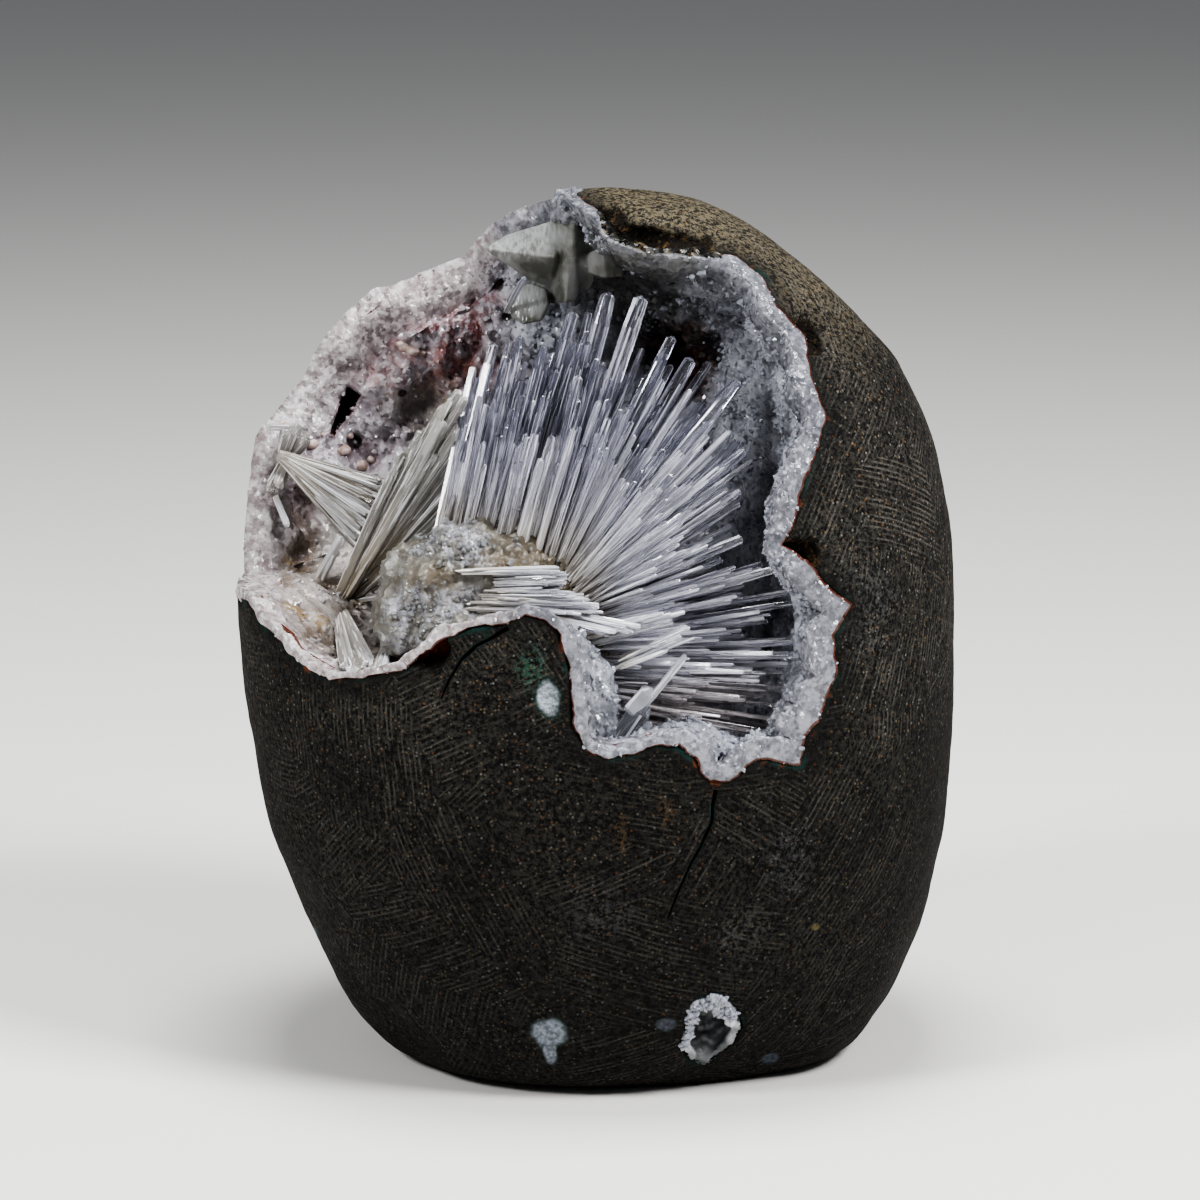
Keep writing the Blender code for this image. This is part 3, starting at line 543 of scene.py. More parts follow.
def inward(rows, end):
    """The directions square to the rows of a wall and into the hollow."""
    along = np.roll(rows, -1, axis=1) - np.roll(rows, 1, axis=1)
    full = np.concatenate([rows[:1], rows, np.tile(end, (1, rows.shape[1], 1))])
    return unit(np.cross(along, full[2:] - full[:-2]) + 1e-9)


def ring_faces(rows, loop):
    """Four-sided faces between each closed row of points and the next."""
    return [
        (r * loop + k, r * loop + (k + 1) % loop, (r + 1) * loop + (k + 1) % loop, (r + 1) * loop + k)
        for r in range(rows - 1) for k in range(loop)
    ]  # fmt: skip


loop = len(fine[0])
corners = [tuple(p * MM) for p in fine.reshape(-1, 3)]
rough_tree = BVHTree.FromPolygons(corners, ring_faces(len(fine), loop))


def on_wall(px, py):
    hit = rough_tree.ray_cast(EYE, sight(px, py))[0]
    return hit or rough_tree.find_nearest(seen(px, py, 10))[0]


def behind(px, py, proud=5.5):
    """The point of the wall under the lining that is seen at that place in the picture."""
    look = sight(px, py)
    hit, way = rough_tree.ray_cast(EYE, look)[:2]
    if hit is None:
        return on_wall(px, py)
    if way.dot(look) > 0:
        way = -way
    return hit - look * (proud * MM / max(-way.dot(look), 0.35)) - way * proud * MM


# Pits in the lining, from the picture: place, reach and depth in millimetres.
PITS = [(behind(*p) / MM, reach, deep) for p, reach, deep in (
    ((680, 345), 9.5, 6.0), ((684, 385), 7.5, 5.0), ((688, 350), 4.0, 7.0), ((497, 283), 2.6, 3.5),
    ((508, 315), 2.0, 3.0), ((355, 350), 1.6, 2.6), ((403, 393), 1.5, 2.6), ((355, 440), 2.0, 3.5),
    ((300, 500), 7.0, 4.5), ((425, 408), 6.0, 3.5), ((770, 640), 6.5, 3.0), ((642, 262), 9.0, 2.0),
)]  # fmt: skip


def lumps(p):
    """How far the lining stands off the wall at a point, in millimetres."""
    v = Vector(p)
    left = ease((-p[0] - 14) / 14) * ease((p[2] - 104) / 12)
    cell = noise.voronoi(v / 10 + Vector((2, 5, 8)))[0][0]
    high = 3.4 + 1.6 * noise.noise(v / 14) + (3.4 - 0.8 * left) * (1 - min(1, cell * 1.2)) ** 0.8
    cell = noise.voronoi(v / 4.6)[0][0]
    high += (1.5 + 0.9 * left) * (1 - min(1, cell * 1.2)) ** 0.7
    cell = noise.voronoi(v / 2.2 + Vector((9, 4, 1)))[0][0]
    high += (0.6 + 0.5 * left) * (1 - min(1, cell * 1.25)) ** 0.7
    high += 0.4 * noise.noise(v / 1.1)
    for centre, reach, deep in PITS:
        gone = (v - centre).length / reach
        if gone < 1.6:
            high -= deep * (1 - ease(gone / (1.25 + 0.3 * noise.noise(v / 2))))
    return high


lip = between(rim, FINER)
outer, inner = lip[:, :3], lip[:, 3:]
outward = unit(outer - inner)
face = unit(np.cross(np.roll(inner, -1, axis=0) - np.roll(inner, 1, axis=0), outward))
face *= np.sign((face * (inner - (0, 0, 95))).sum(axis=1))[:, None]


def waves(rows, *parts):
    """The sum of some waves at each row. Each part is a height and a length in millimetres."""
    return np.array([sum(high * noise.noise(Vector(p) / long) for high, long in parts) for p in rows])


wave = 0.25 + waves(outer, (0.75, 3.1), (0.4, 1.2))
outer = outer + outward * np.clip(wave, -0.15, 1.1)[:, None]
inner = inner - outward * waves(inner, (1.1, 3.6), (0.5, 1.4))[:, None]
width = np.linalg.norm(lip[:, :3] - lip[:, 3:], axis=1)

across = inward(fine, wall_end)
rings = [row + ways_in * 0.25 for row, ways_in in zip(wall[4::-1], across[[58, 39, 20, 8, 0]])]
rings[-1] = rings[-1] - outward * 0.2
rings.append(outer - face * 0.9)
for share in (0, 0.12, 0.3, 0.55, 0.8, 1):
    ring = outer + (inner - outer) * share
    bumpy = 0.1 + waves(ring, (0.14, 0.9), (0.1, 2.5))
    rings.append(ring + face * (bumpy - 0.25 * share**3 - 0.12 * (share == 0))[:, None])
first_wall = len(rings)
raised = [np.full(loop, 6.0)] * first_wall
for r, (row, ways_in) in enumerate(zip(fine, across)):
    if r == 0:
        continue
    settled = ease(r / 9)
    high = np.array([lumps(p) for p in row])
    near = width * 0.85 + 0.6 * (high - 5.5)
    rings.append(row + ways_in * (near + (high - near) * settled)[:, None])
    raised.append(high)
last = rings.pop()
points = np.concatenate([*rings, [wall_end - DEEP * 0.3], [last.mean(axis=0)]])
faces = ring_faces(len(rings), loop)
faces += [((k + 1) % loop, k, len(points) - 2) for k in range(loop)]
top = (len(rings) - 1) * loop
faces += [(top + k, top + (k + 1) % loop, len(points) - 1) for k in range(loop)]
lining = net("quartz_lining", points * MM, faces)
wrapped(lining, hull=False)
bpy.ops.object.shade_smooth()
ring_of = np.repeat(np.arange(len(rings)), loop)
on_lip = np.concatenate([(ring_of >= 5) * (1 - ease((ring_of - first_wall) / 7)), [0, 0]])
on_edge = np.concatenate([ease((8.2 - ring_of) / 2), [0, 0]])
note(lining, "lip", on_lip)
note(lining, "edge", on_edge)
note(lining, "raised", np.concatenate([*raised[:-1], [6, 6]]))


def pictured(p):
    """Where a point, in millimetres, is in the picture."""
    way = Vector(p) * MM - EYE
    far = way.dot((VIEW_CENTRE - EYE).normalized())
    scale = POINTS_PER_METRE / far
    return PICTURE_MIDDLE + scale * way.x, PICTURE_MIDDLE - scale * way.dot(VIEW_UP)


# At the top, the outer part of the cut face is broken rock and not quartz.
bare = []
for place, ring in zip(points, [*ring_of, 99, 99]):
    px, py = pictured(place)
    share = ease((px - 586) / 22) * ease((742 - px) / 34) * (py < 300) * (place[1] < 0)
    bare.append(share * ease((10.6 - ring) / 2.2))
note(lining, "bare", bare)

# The slot through the lining on the left, wide at the top and narrow at the bottom.
bpy.ops.mesh.primitive_cube_add(size=1)
slot = bpy.context.object
slot.dimensions = (4.2 * MM, 24 * MM, 11 * MM)
bpy.ops.object.transform_apply(scale=True)
bpy.ops.object.mode_set(mode="EDIT")
bpy.ops.mesh.subdivide(number_cuts=7)
bpy.ops.object.mode_set(mode="OBJECT")
for v in slot.data.vertices:
    v.co.x *= 0.62 + 0.055 * v.co.z / MM
slot.data.transform(Matrix.Rotation(math.radians(27), 4, "Y"))
relief(slot, "CLOUDS", 4 * MM, 1.6 * MM)
slot.data.transform(Matrix.Translation(on_wall(345, 408)))
finish_with(lining, "BOOLEAN", operation="DIFFERENCE", object=slot, solver="EXACT")
bpy.data.objects.remove(slot, do_unlink=True)
lining_tree = tree_of(lining)


def on_lining(px, py):
    """The point of the lining that is seen at that place in the picture."""
    return lining_tree.ray_cast(EYE, sight(px, py))[0] or on_wall(px, py)


def druse(name, clear):
    """The finish of the small quartz crystals, with the stains of each side of the hollow, and painted shade
    in its dips, pits and roof.
    """
    values = {"Roughness": 0.3, "IOR": 1.54, "Transmission Weight": clear, "Coat Weight": 0.0}
    finish, tree, shader = new_finish(name, values)
    place = object_place(tree)
    # Painted shade: the lining is lighter where it stands high and darker in its dips and pits.
    top = level(tree, stored(tree, "raised"), 3.6, 8.6)
    soft = plus(tree, times(tree, clouds(tree, place, 170, 3, 0.6), 0.6), times(tree, top, 0.4))
    colour = tint(tree, level(tree, soft, 0.28, 0.6), (0.15, 0.157, 0.18), (0.44, 0.45, 0.5))
    where = node(tree, "SeparateXYZ", {0: place})
    x, z = where.outputs[0], where.outputs[2]
    wavy = times(tree, calc(tree, "SUBTRACT", clouds(tree, place, 50, 3), 0.5), 0.03)
    left = level(tree, plus(tree, x, wavy), -14 * MM, -30 * MM)
    upper = level(tree, plus(tree, z, wavy), 112 * MM, 124 * MM)
    pink = tint(tree, level(tree, soft, 0.28, 0.62), (0.19, 0.135, 0.15), (0.49, 0.455, 0.485))
    floor = tint(tree, level(tree, soft, 0.3, 0.62), (0.22, 0.17, 0.135), (0.46, 0.425, 0.395))
    fine_clouds = clouds(tree, place, 420, 3, 0.65)
    floor = tint(tree, level(tree, clouds(tree, place, 150, 3), 0.58, 0.7), floor, (0.28, 0.19, 0.08))
    colour = tint(tree, times(tree, left, 0.9), colour, tint(tree, upper, floor, pink))
    for at, reach, shade, most in (
        ((440, 310), (13, 16, 9), (0.2, 0.06, 0.06), 0.75),
        ((462, 345), (8, 14, 9), (0.13, 0.035, 0.035), 0.85),
        ((398, 300), (8, 12, 5), (0.3, 0.13, 0.13), 0.6),
        ((405, 372), (13, 14, 6), (0.34, 0.16, 0.15), 0.55),
        ((455, 385), (7, 12, 8), (0.36, 0.17, 0.14), 0.5),
        ((340, 350), (9, 12, 7), (0.5, 0.36, 0.36), 0.4),
        ((300, 395), (7, 12, 9), (0.42, 0.46, 0.48), 0.5),
        ((428, 405), (8, 12, 6), (0.34, 0.34, 0.28), 0.6),
        ((335, 400), (7, 12, 9), (0.45, 0.4, 0.43), 0.4),
    ):
        mask = spot(tree, place, on_lining(*at), Vector(reach) * MM, 0, 1.3, 150, 0.5)
        broken = level(tree, fine_clouds, 0.4, 0.6, 0.1, most)
        colour = tint(tree, times(tree, mask, broken), colour, shade)
    pit = spot(tree, place, on_lining(681, 348), Vector((9, 40, 12)) * MM, -0.25, 0.7, 150, 0.3)
    ruddy = tint(tree, level(tree, fine_clouds, 0.42, 0.62), (0.012, 0.006, 0.006), (0.1, 0.045, 0.045))
    colour = tint(tree, pit, colour, ruddy)
    # Painted shade: the pits are darkened to near black inside.
    for at, reach in (
        ((688, 350), 3.6), ((497, 283), 1.7), ((508, 315), 1.2),
        ((355, 350), 1), ((403, 393), 1), ((355, 440), 1.8),
    ):  # fmt: skip
        painted_pit_shade = spot(tree, place, on_lining(*at), Vector((reach, reach * 3, reach)) * MM, 0, 0.8, 300)
        colour = tint(tree, times(tree, painted_pit_shade, 0.9), colour, (0.018, 0.007, 0.006))
    lip = stored(tree, "lip")
    speckled = level(tree, fine_clouds, 0.36, 0.64)
    cut = tint(tree, speckled, (0.11, 0.114, 0.128), (0.3, 0.3, 0.33))
    high = level(tree, z, 96 * MM, 122 * MM)
    cut = tint(tree, high, cut, tint(tree, speckled, (0.08, 0.083, 0.095), (0.2, 0.2, 0.225)))
    cut = tint(tree, left, cut, tint(tree, speckled, (0.24, 0.2, 0.2), (0.52, 0.49, 0.5)))
    colour = tint(tree, times(tree, lip, 0.88), colour, cut)
    # The roof, behind the blades, is painted dark brownish grey: painted shadow.
    painted_roof_shadow = spot(tree, place, on_lining(640, 285), Vector((15, 60, 15)) * MM, 0, 0.7, 150, 0.5)
    colour = tint(tree, times(tree, painted_roof_shadow, 0.88), colour, (0.045, 0.043, 0.036))
    edge = plus(tree, stored(tree, "edge"), times(tree, fine_clouds, 0.6))
    colour = tint(tree, level(tree, edge, 0.9, 1.1), colour, (0.1, 0.03, 0.018))
    ragged = times(tree, calc(tree, "SUBTRACT", clouds(tree, place, 300, 3), 0.5), 0.9)
    bare = plus(tree, stored(tree, "bare"), ragged)
    stone = tint(tree, level(tree, fine_clouds, 0.54, 0.66), (0.005, 0.0045, 0.0035), (0.08, 0.06, 0.03))
    colour = tint(tree, level(tree, bare, 0.42, 0.52), colour, stone)
    # Each small crystal faces its own way, which is what glitters.
    cells = node(tree, "TexVoronoi", {"Vector": place, "Scale": 950})
    turn = vector(tree, "SCALE", vector(tree, "SUBTRACT", cells.outputs["Color"], (0.5, 0.5, 0.5)), 0.9)
    normal = node(tree, "NewGeometry").outputs["Normal"]
    normal = vector(tree, "NORMALIZE", vector(tree, "ADD", normal, turn))
    bump = node(tree, "Bump", {
        "Height": clouds(tree, place, 700, 2, 0.6), "Strength": 0.6, "Distance": 0.5 * MM, "Normal": normal,
    })  # fmt: skip
    tree.links.new(colour, shader.inputs["Base Color"])
    tree.links.new(bump.outputs[0], shader.inputs["Normal"])
    rough = node(tree, "SeparateColor", {0: cells.outputs["Color"]}).outputs[0]
    rough = level(tree, rough, 0.2, 0.8, 0.14, 0.5)
    tree.links.new(rough, shader.inputs["Roughness"])
    return finish


lining.data.materials.append(druse("quartz_druse", 0.0))
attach(lining, "root")
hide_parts("crystal_crust")

# The quartz points on the lining.
# Six-sided quartz points a millimetre or so across that stand all over the lining, thickest on
# the right. One is modelled, and the rest are copies of it.

bpy.ops.mesh.primitive_cylinder_add(vertices=6, radius=0.5, depth=1, location=(0, 0, 0.5))
bpy.ops.object.transform_apply(location=True)
point = bpy.context.object
bpy.ops.object.mode_set(mode="EDIT")
bpy.ops.mesh.select_all(action="DESELECT")
bpy.ops.object.mode_set(mode="OBJECT")
for side in point.data.polygons:
    side.select = side.normal.z > 0.9
bpy.ops.object.mode_set(mode="EDIT")
bpy.ops.mesh.extrude_region_move(TRANSFORM_OT_translate={"value": (0, 0, 0.55)})
bpy.ops.mesh.merge(type="CENTER")
bpy.ops.object.mode_set(mode="OBJECT")


def model_of(shape):
    """The corners and the triangles of a small model that is going to be copied."""
    shape.data.calc_loop_triangles()
    corners = points_of(shape)
    sides = np.array([t.vertices[:] for t in shape.data.loop_triangles])
    bpy.data.objects.remove(shape, do_unlink=True)
    return corners, sides


def scattered(name, model, places, ways, sizes, rng, squeeze=(1.0, 1.0)):
    """Copies of a model in one mesh, each turned about the way it stands."""
    corners, sides = model
    up = unit(np.array(ways))
    side = unit(np.cross(up, rng.normal(size=up.shape)))
    other = np.cross(up, side)
    tall = rng.uniform(*squeeze, size=len(up))
    grown = (side[:, None] * corners[None, :, 0:1] + other[:, None] * corners[None, :, 1:2]
             + up[:, None] * corners[None, :, 2:3] * tall[:, None, None]) * np.array(sizes)[:, None, None]
    grown += np.array(places)[:, None]
    count = len(corners)
    faces = (sides[None] + np.arange(len(up))[:, None, None] * count).reshape(-1, 3)
    return net(name, grown.reshape(-1, 3), faces.tolist())


quartz_point = model_of(point)


def lump(place, reach):
    """A round lump with its reach in millimetres."""
    bpy.ops.mesh.primitive_ico_sphere_add(subdivisions=3, radius=MM, location=place, scale=reach)
    bpy.ops.object.transform_apply(location=True, scale=True)
    return bpy.context.object


def joined(pieces, name):
    bpy.ops.object.select_all(action="DESELECT")
    for piece in pieces:
        piece.select_set(True)
    bpy.context.view_layer.objects.active = pieces[0]
    bpy.ops.object.join()
    made = bpy.context.object
    made.name = name
    made.data.name = name
    return made


def spread_over(piece, count, rng, wanted):
    """Random places on a piece with the way each faces, kept where wanted says so."""
    piece.data.calc_loop_triangles()
    total = len(piece.data.loop_triangles)
    areas, corners = np.empty(total), np.empty(total * 3, np.int32)
    piece.data.loop_triangles.foreach_get("area", areas)
    piece.data.loop_triangles.foreach_get("vertices", corners)
    at = points_of(piece)[corners.reshape(-1, 3)]
    share = np.array([wanted(p) for p in at.mean(axis=1) / MM])
    faces_in = unit(np.cross(at[:, 1] - at[:, 0], at[:, 2] - at[:, 0]) + 1e-15)
    areas = areas * share
    pick = rng.choice(total, count, p=areas / areas.sum())
    u, v = rng.random(count), rng.random(count)
    over = u + v > 1
    u, v = np.where(over, 1 - u, u)[:, None], np.where(over, 1 - v, v)[:, None]
    spots = at[pick]
    return spots[:, 0] * (1 - u - v) + spots[:, 1] * u + spots[:, 2] * v, faces_in[pick]


rng = np.random.default_rng(7)
cut_face = np.concatenate(rings[5:first_wall])
face_tree = KDTree(len(cut_face))
for k, place in enumerate(cut_face):
    face_tree.insert(place, k)
face_tree.balance()


# Where few points stand: a place in the picture, the reach there, and the Y behind which it holds.
BARE_SPOTS = (
    ((682, 358), 34, 52, -12), ((497, 283), 9, 9, -12), ((508, 315), 7, 7, -12), ((640, 275), 50, 36, -99),
)  # fmt: skip


def druse_share(p):
    """How thickly the points stand at a place, in millimetres, of the lining's inner side."""
    px, py = pictured(p)
    if face_tree.find(p)[2] < 1.6:
        return 0.5 * (px < 590 or px > 735 or py > 300)
    if rough_tree.find_nearest(Vector(p) * MM)[3] < 2.2 * MM:
        return 0
    for (x, y), wide, tall, from_y in BARE_SPOTS:
        if ((px - x) / wide) ** 2 + ((py - y) / tall) ** 2 < 1 and p[1] > from_y:
            return 0.08
    return 1 - 0.75 * ease((-p[0] - 12) / 14)


places, ways = spread_over(lining, 8900, rng, druse_share)
ways = unit(ways + rng.normal(scale=0.5, size=ways.shape))
sizes = rng.uniform(0.35, 1.0, len(ways)) ** 2 * 1.45 * MM
# On the cut face they are worn down to little more than grains.
ground = np.array([face_tree.find(place / MM)[2] < 1.6 for place in places])
sizes = np.where(ground, sizes * 0.75, sizes)
sunk = np.where(ground, 1.15, 0.8) * sizes
points = scattered("quartz_points", quartz_point, places - ways * sunk[:, None], ways, sizes, rng, (0.8, 1.2))
shine, tree, shader = new_finish("clear_quartz", {"Roughness": 0.12, "IOR": 1.54, "Transmission Weight": 0.4})
place = object_place(tree)
side = node(tree, "SeparateXYZ", {0: place}).outputs[0]
left = level(tree, side, -14 * MM, -30 * MM)
tree.links.new(tint(tree, left, (0.52, 0.54, 0.6), (0.62, 0.58, 0.6)), shader.inputs["Base Color"])
points.data.materials.append(shine)
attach(points, "root")
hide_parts("crystal_crust")

# Round peach-coloured lumps, and one like a finger, that grew on the lining at the left.
heaps = []
for px, py, reach in (
    (290, 418, (1.5, 1.5, 1.3)), (313, 440, (1.6, 1.5, 1.3)), (340, 447, (1.9, 1.7, 1.5)),
    (360, 463, (1.5, 1.5, 1.4)), (326, 436, (0.9, 1.0, 0.8)), (372, 455, (1.1, 1.1, 1.0)),
    (349, 432, (1.0, 1.0, 0.9)), (402, 341, (1.4, 1.3, 0.9)), (408, 344, (1.7, 1.3, 0.9)),
    (415, 347, (1.7, 1.3, 0.9)), (422, 349, (1.2, 1.2, 0.8)),
):  # fmt: skip
    heaps.append(lump(lining.closest_point_on_mesh(on_wall(px, py) - Vector((0, 5.5 * MM, 0)))[1], reach))
buttons = joined(heaps, "peach_lumps")
finish_with(buttons, "REMESH", mode="VOXEL", voxel_size=0.35 * MM)
relief(buttons, "CLOUDS", 1.5 * MM, 0.5 * MM)
bpy.ops.object.shade_smooth()
peach, tree, shader = new_finish("peach", {"Roughness": 0.4})
mottled = level(tree, clouds(tree, object_place(tree), 700, 3), 0.4, 0.6)
tree.links.new(tint(tree, mottled, (0.36, 0.25, 0.22), (0.5, 0.41, 0.38)), shader.inputs["Base Color"])
buttons.data.materials.append(peach)
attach(buttons, "root")
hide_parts("crystal_crust")

# The granular mass.
# A cream to grey mass of grown-together crystals from which the main spray comes. It stands on
# the hollow's floor and reaches forward to the edge on the left of the rock's nose.

HEAPS = (
    ((480, 588, -36), (22, 14, 13)), ((545, 655, -42), (17, 12, 15)), ((432, 575, -34), (10, 9, 9)),
    ((470, 552, -37), (9, 9, 7)), ((412, 620, -38), (8, 10, 11)), ((530, 566, -36), (12, 9, 10)),
    ((590, 650, -34), (17, 10, 14)), ((450, 632, -46), (9, 8, 7)), ((585, 700, -36), (15, 9, 11)),
)  # fmt: skip
mass = joined([lump(seen(*at), reach) for at, reach in HEAPS], "granular_mass")
finish_with(mass, "REMESH", mode="VOXEL", voxel_size=0.9 * MM)
relief(mass, "CLOUDS", 9 * MM, 5 * MM)
relief(mass, "VORONOI", 4 * MM, -2.6 * MM)
relief(mass, "VORONOI", 1.8 * MM, -1.2 * MM)
bpy.ops.object.shade_smooth()

milky, tree, shader = new_finish("granular_scolecite", {
    "Roughness": 0.25, "IOR": 1.51, "Transmission Weight": 0.3})  # fmt: skip
place = object_place(tree)
soft = level(tree, clouds(tree, place, 90, 4, 0.6), 0.38, 0.62)
colour = tint(tree, soft, (0.17, 0.15, 0.115), (0.28, 0.27, 0.245))
for at, reach in (
    ((525, 560, -48), (10, 12, 6)), ((432, 588, -46), (5, 8, 5)), ((590, 590, -44), (12, 12, 7)),
):  # fmt: skip
    brown = spot(tree, place, seen(*at), Vector(reach) * MM, 0, 0.8, 120, 0.5)
    colour = tint(tree, times(tree, brown, 0.7), colour, (0.2, 0.16, 0.11))
# The sugary patches, where most of the grains stand.
SUGAR = (
    ((452, 545), 34, 20), ((420, 622), 30, 34), ((470, 600), 24, 12), ((500, 515), 14, 8),
    ((545, 515), 9, 16),
)  # fmt: skip
for (px, py), wide, tall in SUGAR:
    reach = Vector((wide / per_mm, 16, tall / per_mm)) * MM
    patch = spot(tree, place, seen(px, py, -46), reach, 0, 1.0, 220, 0.4)
    sugar = level(tree, clouds(tree, place, 420, 4, 0.7), 0.42, 0.58, 0.1, 0.9)
    colour = tint(tree, times(tree, patch, sugar), colour, (0.56, 0.57, 0.62))
cells = node(tree, "TexVoronoi", {"Vector": place, "Scale": 620})
turn = vector(tree, "SCALE", vector(tree, "SUBTRACT", cells.outputs["Color"], (0.5, 0.5, 0.5)), 0.8)
normal = vector(tree, "NORMALIZE", vector(tree, "ADD", node(tree, "NewGeometry").outputs["Normal"], turn))
bump = node(tree, "Bump", {
    "Height": clouds(tree, place, 500, 4, 0.65), "Strength": 0.6, "Distance": 0.6 * MM, "Normal": normal,
})  # fmt: skip
tree.links.new(colour, shader.inputs["Base Color"])
tree.links.new(bump.outputs[0], shader.inputs["Normal"])
mass.data.materials.append(milky)
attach(mass, "root")
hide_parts("crystal_crust")


def sugary(p):
    """How thickly the grains stand at a place, in millimetres, of the mass."""
    px, py = pictured(p)
    away = [((px - x) / wide / 1.3) ** 2 + ((py - y) / tall / 1.3) ** 2 for (x, y), wide, tall in SUGAR]
    return 0.06 + max(0, 1 - min(away))


places, ways = spread_over(mass, 1900, rng, sugary)
ways = unit(ways + rng.normal(scale=0.7, size=ways.shape))
sizes = rng.uniform(0.3, 1.0, len(ways)) ** 2 * 1.5 * MM
grains = scattered("mass_grains", quartz_point, places - ways * sizes[:, None], ways, sizes, rng, (0.8, 1.3))
values = {"Roughness": 0.15, "IOR": 1.51, "Transmission Weight": 0.7}
cloudy, tree, shader = new_finish("cloudy_grains", values)
place = object_place(tree)
pale = level(tree, clouds(tree, place, 120, 3), 0.4, 0.6)
tree.links.new(tint(tree, pale, (0.45, 0.44, 0.41), (0.68, 0.69, 0.73)), shader.inputs["Base Color"])
grains.data.materials.append(cloudy)
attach(grains, "root")
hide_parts("crystal_crust")

# The main spray of scolecite.
# Some hundreds of clear needles of nearly square section with low tips. They fan out from the
# mass to the top and the right, thick at the top and thin on the right, and hide their roots.

bpy.ops.mesh.primitive_cylinder_add(vertices=4, radius=0.7071, depth=1, location=(0, 0, 0.5))
bpy.ops.object.transform_apply(location=True)
needle = bpy.context.object
bpy.ops.object.mode_set(mode="EDIT")
bpy.ops.mesh.select_all(action="DESELECT")
bpy.ops.object.mode_set(mode="OBJECT")
for side in needle.data.edges:
    ends = [needle.data.vertices[k].co for k in side.vertices]
    side.select = abs(ends[0].z - ends[1].z) > 0.5
bpy.ops.object.mode_set(mode="EDIT")
bpy.ops.mesh.bevel(offset=0.11, segments=1)
bpy.ops.mesh.select_all(action="DESELECT")
bpy.ops.object.mode_set(mode="OBJECT")
for side in needle.data.polygons:
    side.select = side.normal.z > 0.9
bpy.ops.object.mode_set(mode="EDIT")
bpy.ops.mesh.extrude_region_move(TRANSFORM_OT_translate={"value": (0, 0, 0.28)})
bpy.ops.transform.resize(value=(0.22, 0.3, 1), center_override=(0, 0, 1.28))
bpy.ops.object.mode_set(mode="OBJECT")


def narrow(normal):
    """One for the narrow faces that the bevel made along the edges, and nought for the rest."""
    turn = abs(math.atan2(normal.y, normal.x)) % (math.pi / 2)
    return float(abs(normal.z) < 0.1 and abs(turn - math.pi / 4) > 0.15 * math.pi)


needle.data.calc_loop_triangles()
needle_edges = [narrow(t.normal) for t in needle.data.loop_triangles]
needle_model = model_of(needle)


def grown(name, rows, seed):
    """Needles in one mesh. Each row is a root, a tip, a width, a flatness and how milky it is."""
    rng = np.random.default_rng(seed)
    corners, sides = needle_model
    root, tip = (np.array([row[k] for row in rows], float) for k in (0, 1))
    wide, flatness, milk = (np.array([row[k] for row in rows], float)[:, None, None] for k in (2, 3, 4))
    along = tip - root
    length = np.linalg.norm(along, axis=1)[:, None, None]
    along = unit(along)
    side = unit(np.cross(along, rng.normal(size=along.shape)))
    other = np.cross(along, side)
    x, y, z = (corners[None, :, k : k + 1] for k in range(3))
    low = np.clip(z, 0, 1) * (length - 0.28 * wide) + np.clip(z - 1, 0, None) * wide
    taper = 1 - 0.12 * (z < 0.5)
    grown = side[:, None] * x * wide * taper + other[:, None] * y * wide * flatness * taper
    grown += along[:, None] * low
    grown += root[:, None]
    count = len(corners)
    faces = (sides[None] + np.arange(len(rows))[:, None, None] * count).reshape(-1, 3)
    made = net(name, grown.reshape(-1, 3), faces.tolist())
    full = np.broadcast_to
    shift = rng.uniform(0, 90, size=(len(rows), 1, 1))
    size = (len(rows), count, 1)
    fibre = np.concatenate([full(x * wide / MM + shift, size), full(y * wide / MM + shift * 0.7, size),
                            full(low / MM * 0.05 + shift, size)], axis=2)  # fmt: skip
    note(made, "fibre", fibre.reshape(-1, 3), "FLOAT_VECTOR")
    note(made, "grown", full(low / length, size))
    note(made, "milk", full(milk, size))
    bevelled = made.data.attributes.new("narrow", "FLOAT", "FACE")
    bevelled.data.foreach_set("value", np.tile(needle_edges, len(rows)).astype(np.float32))
    return made


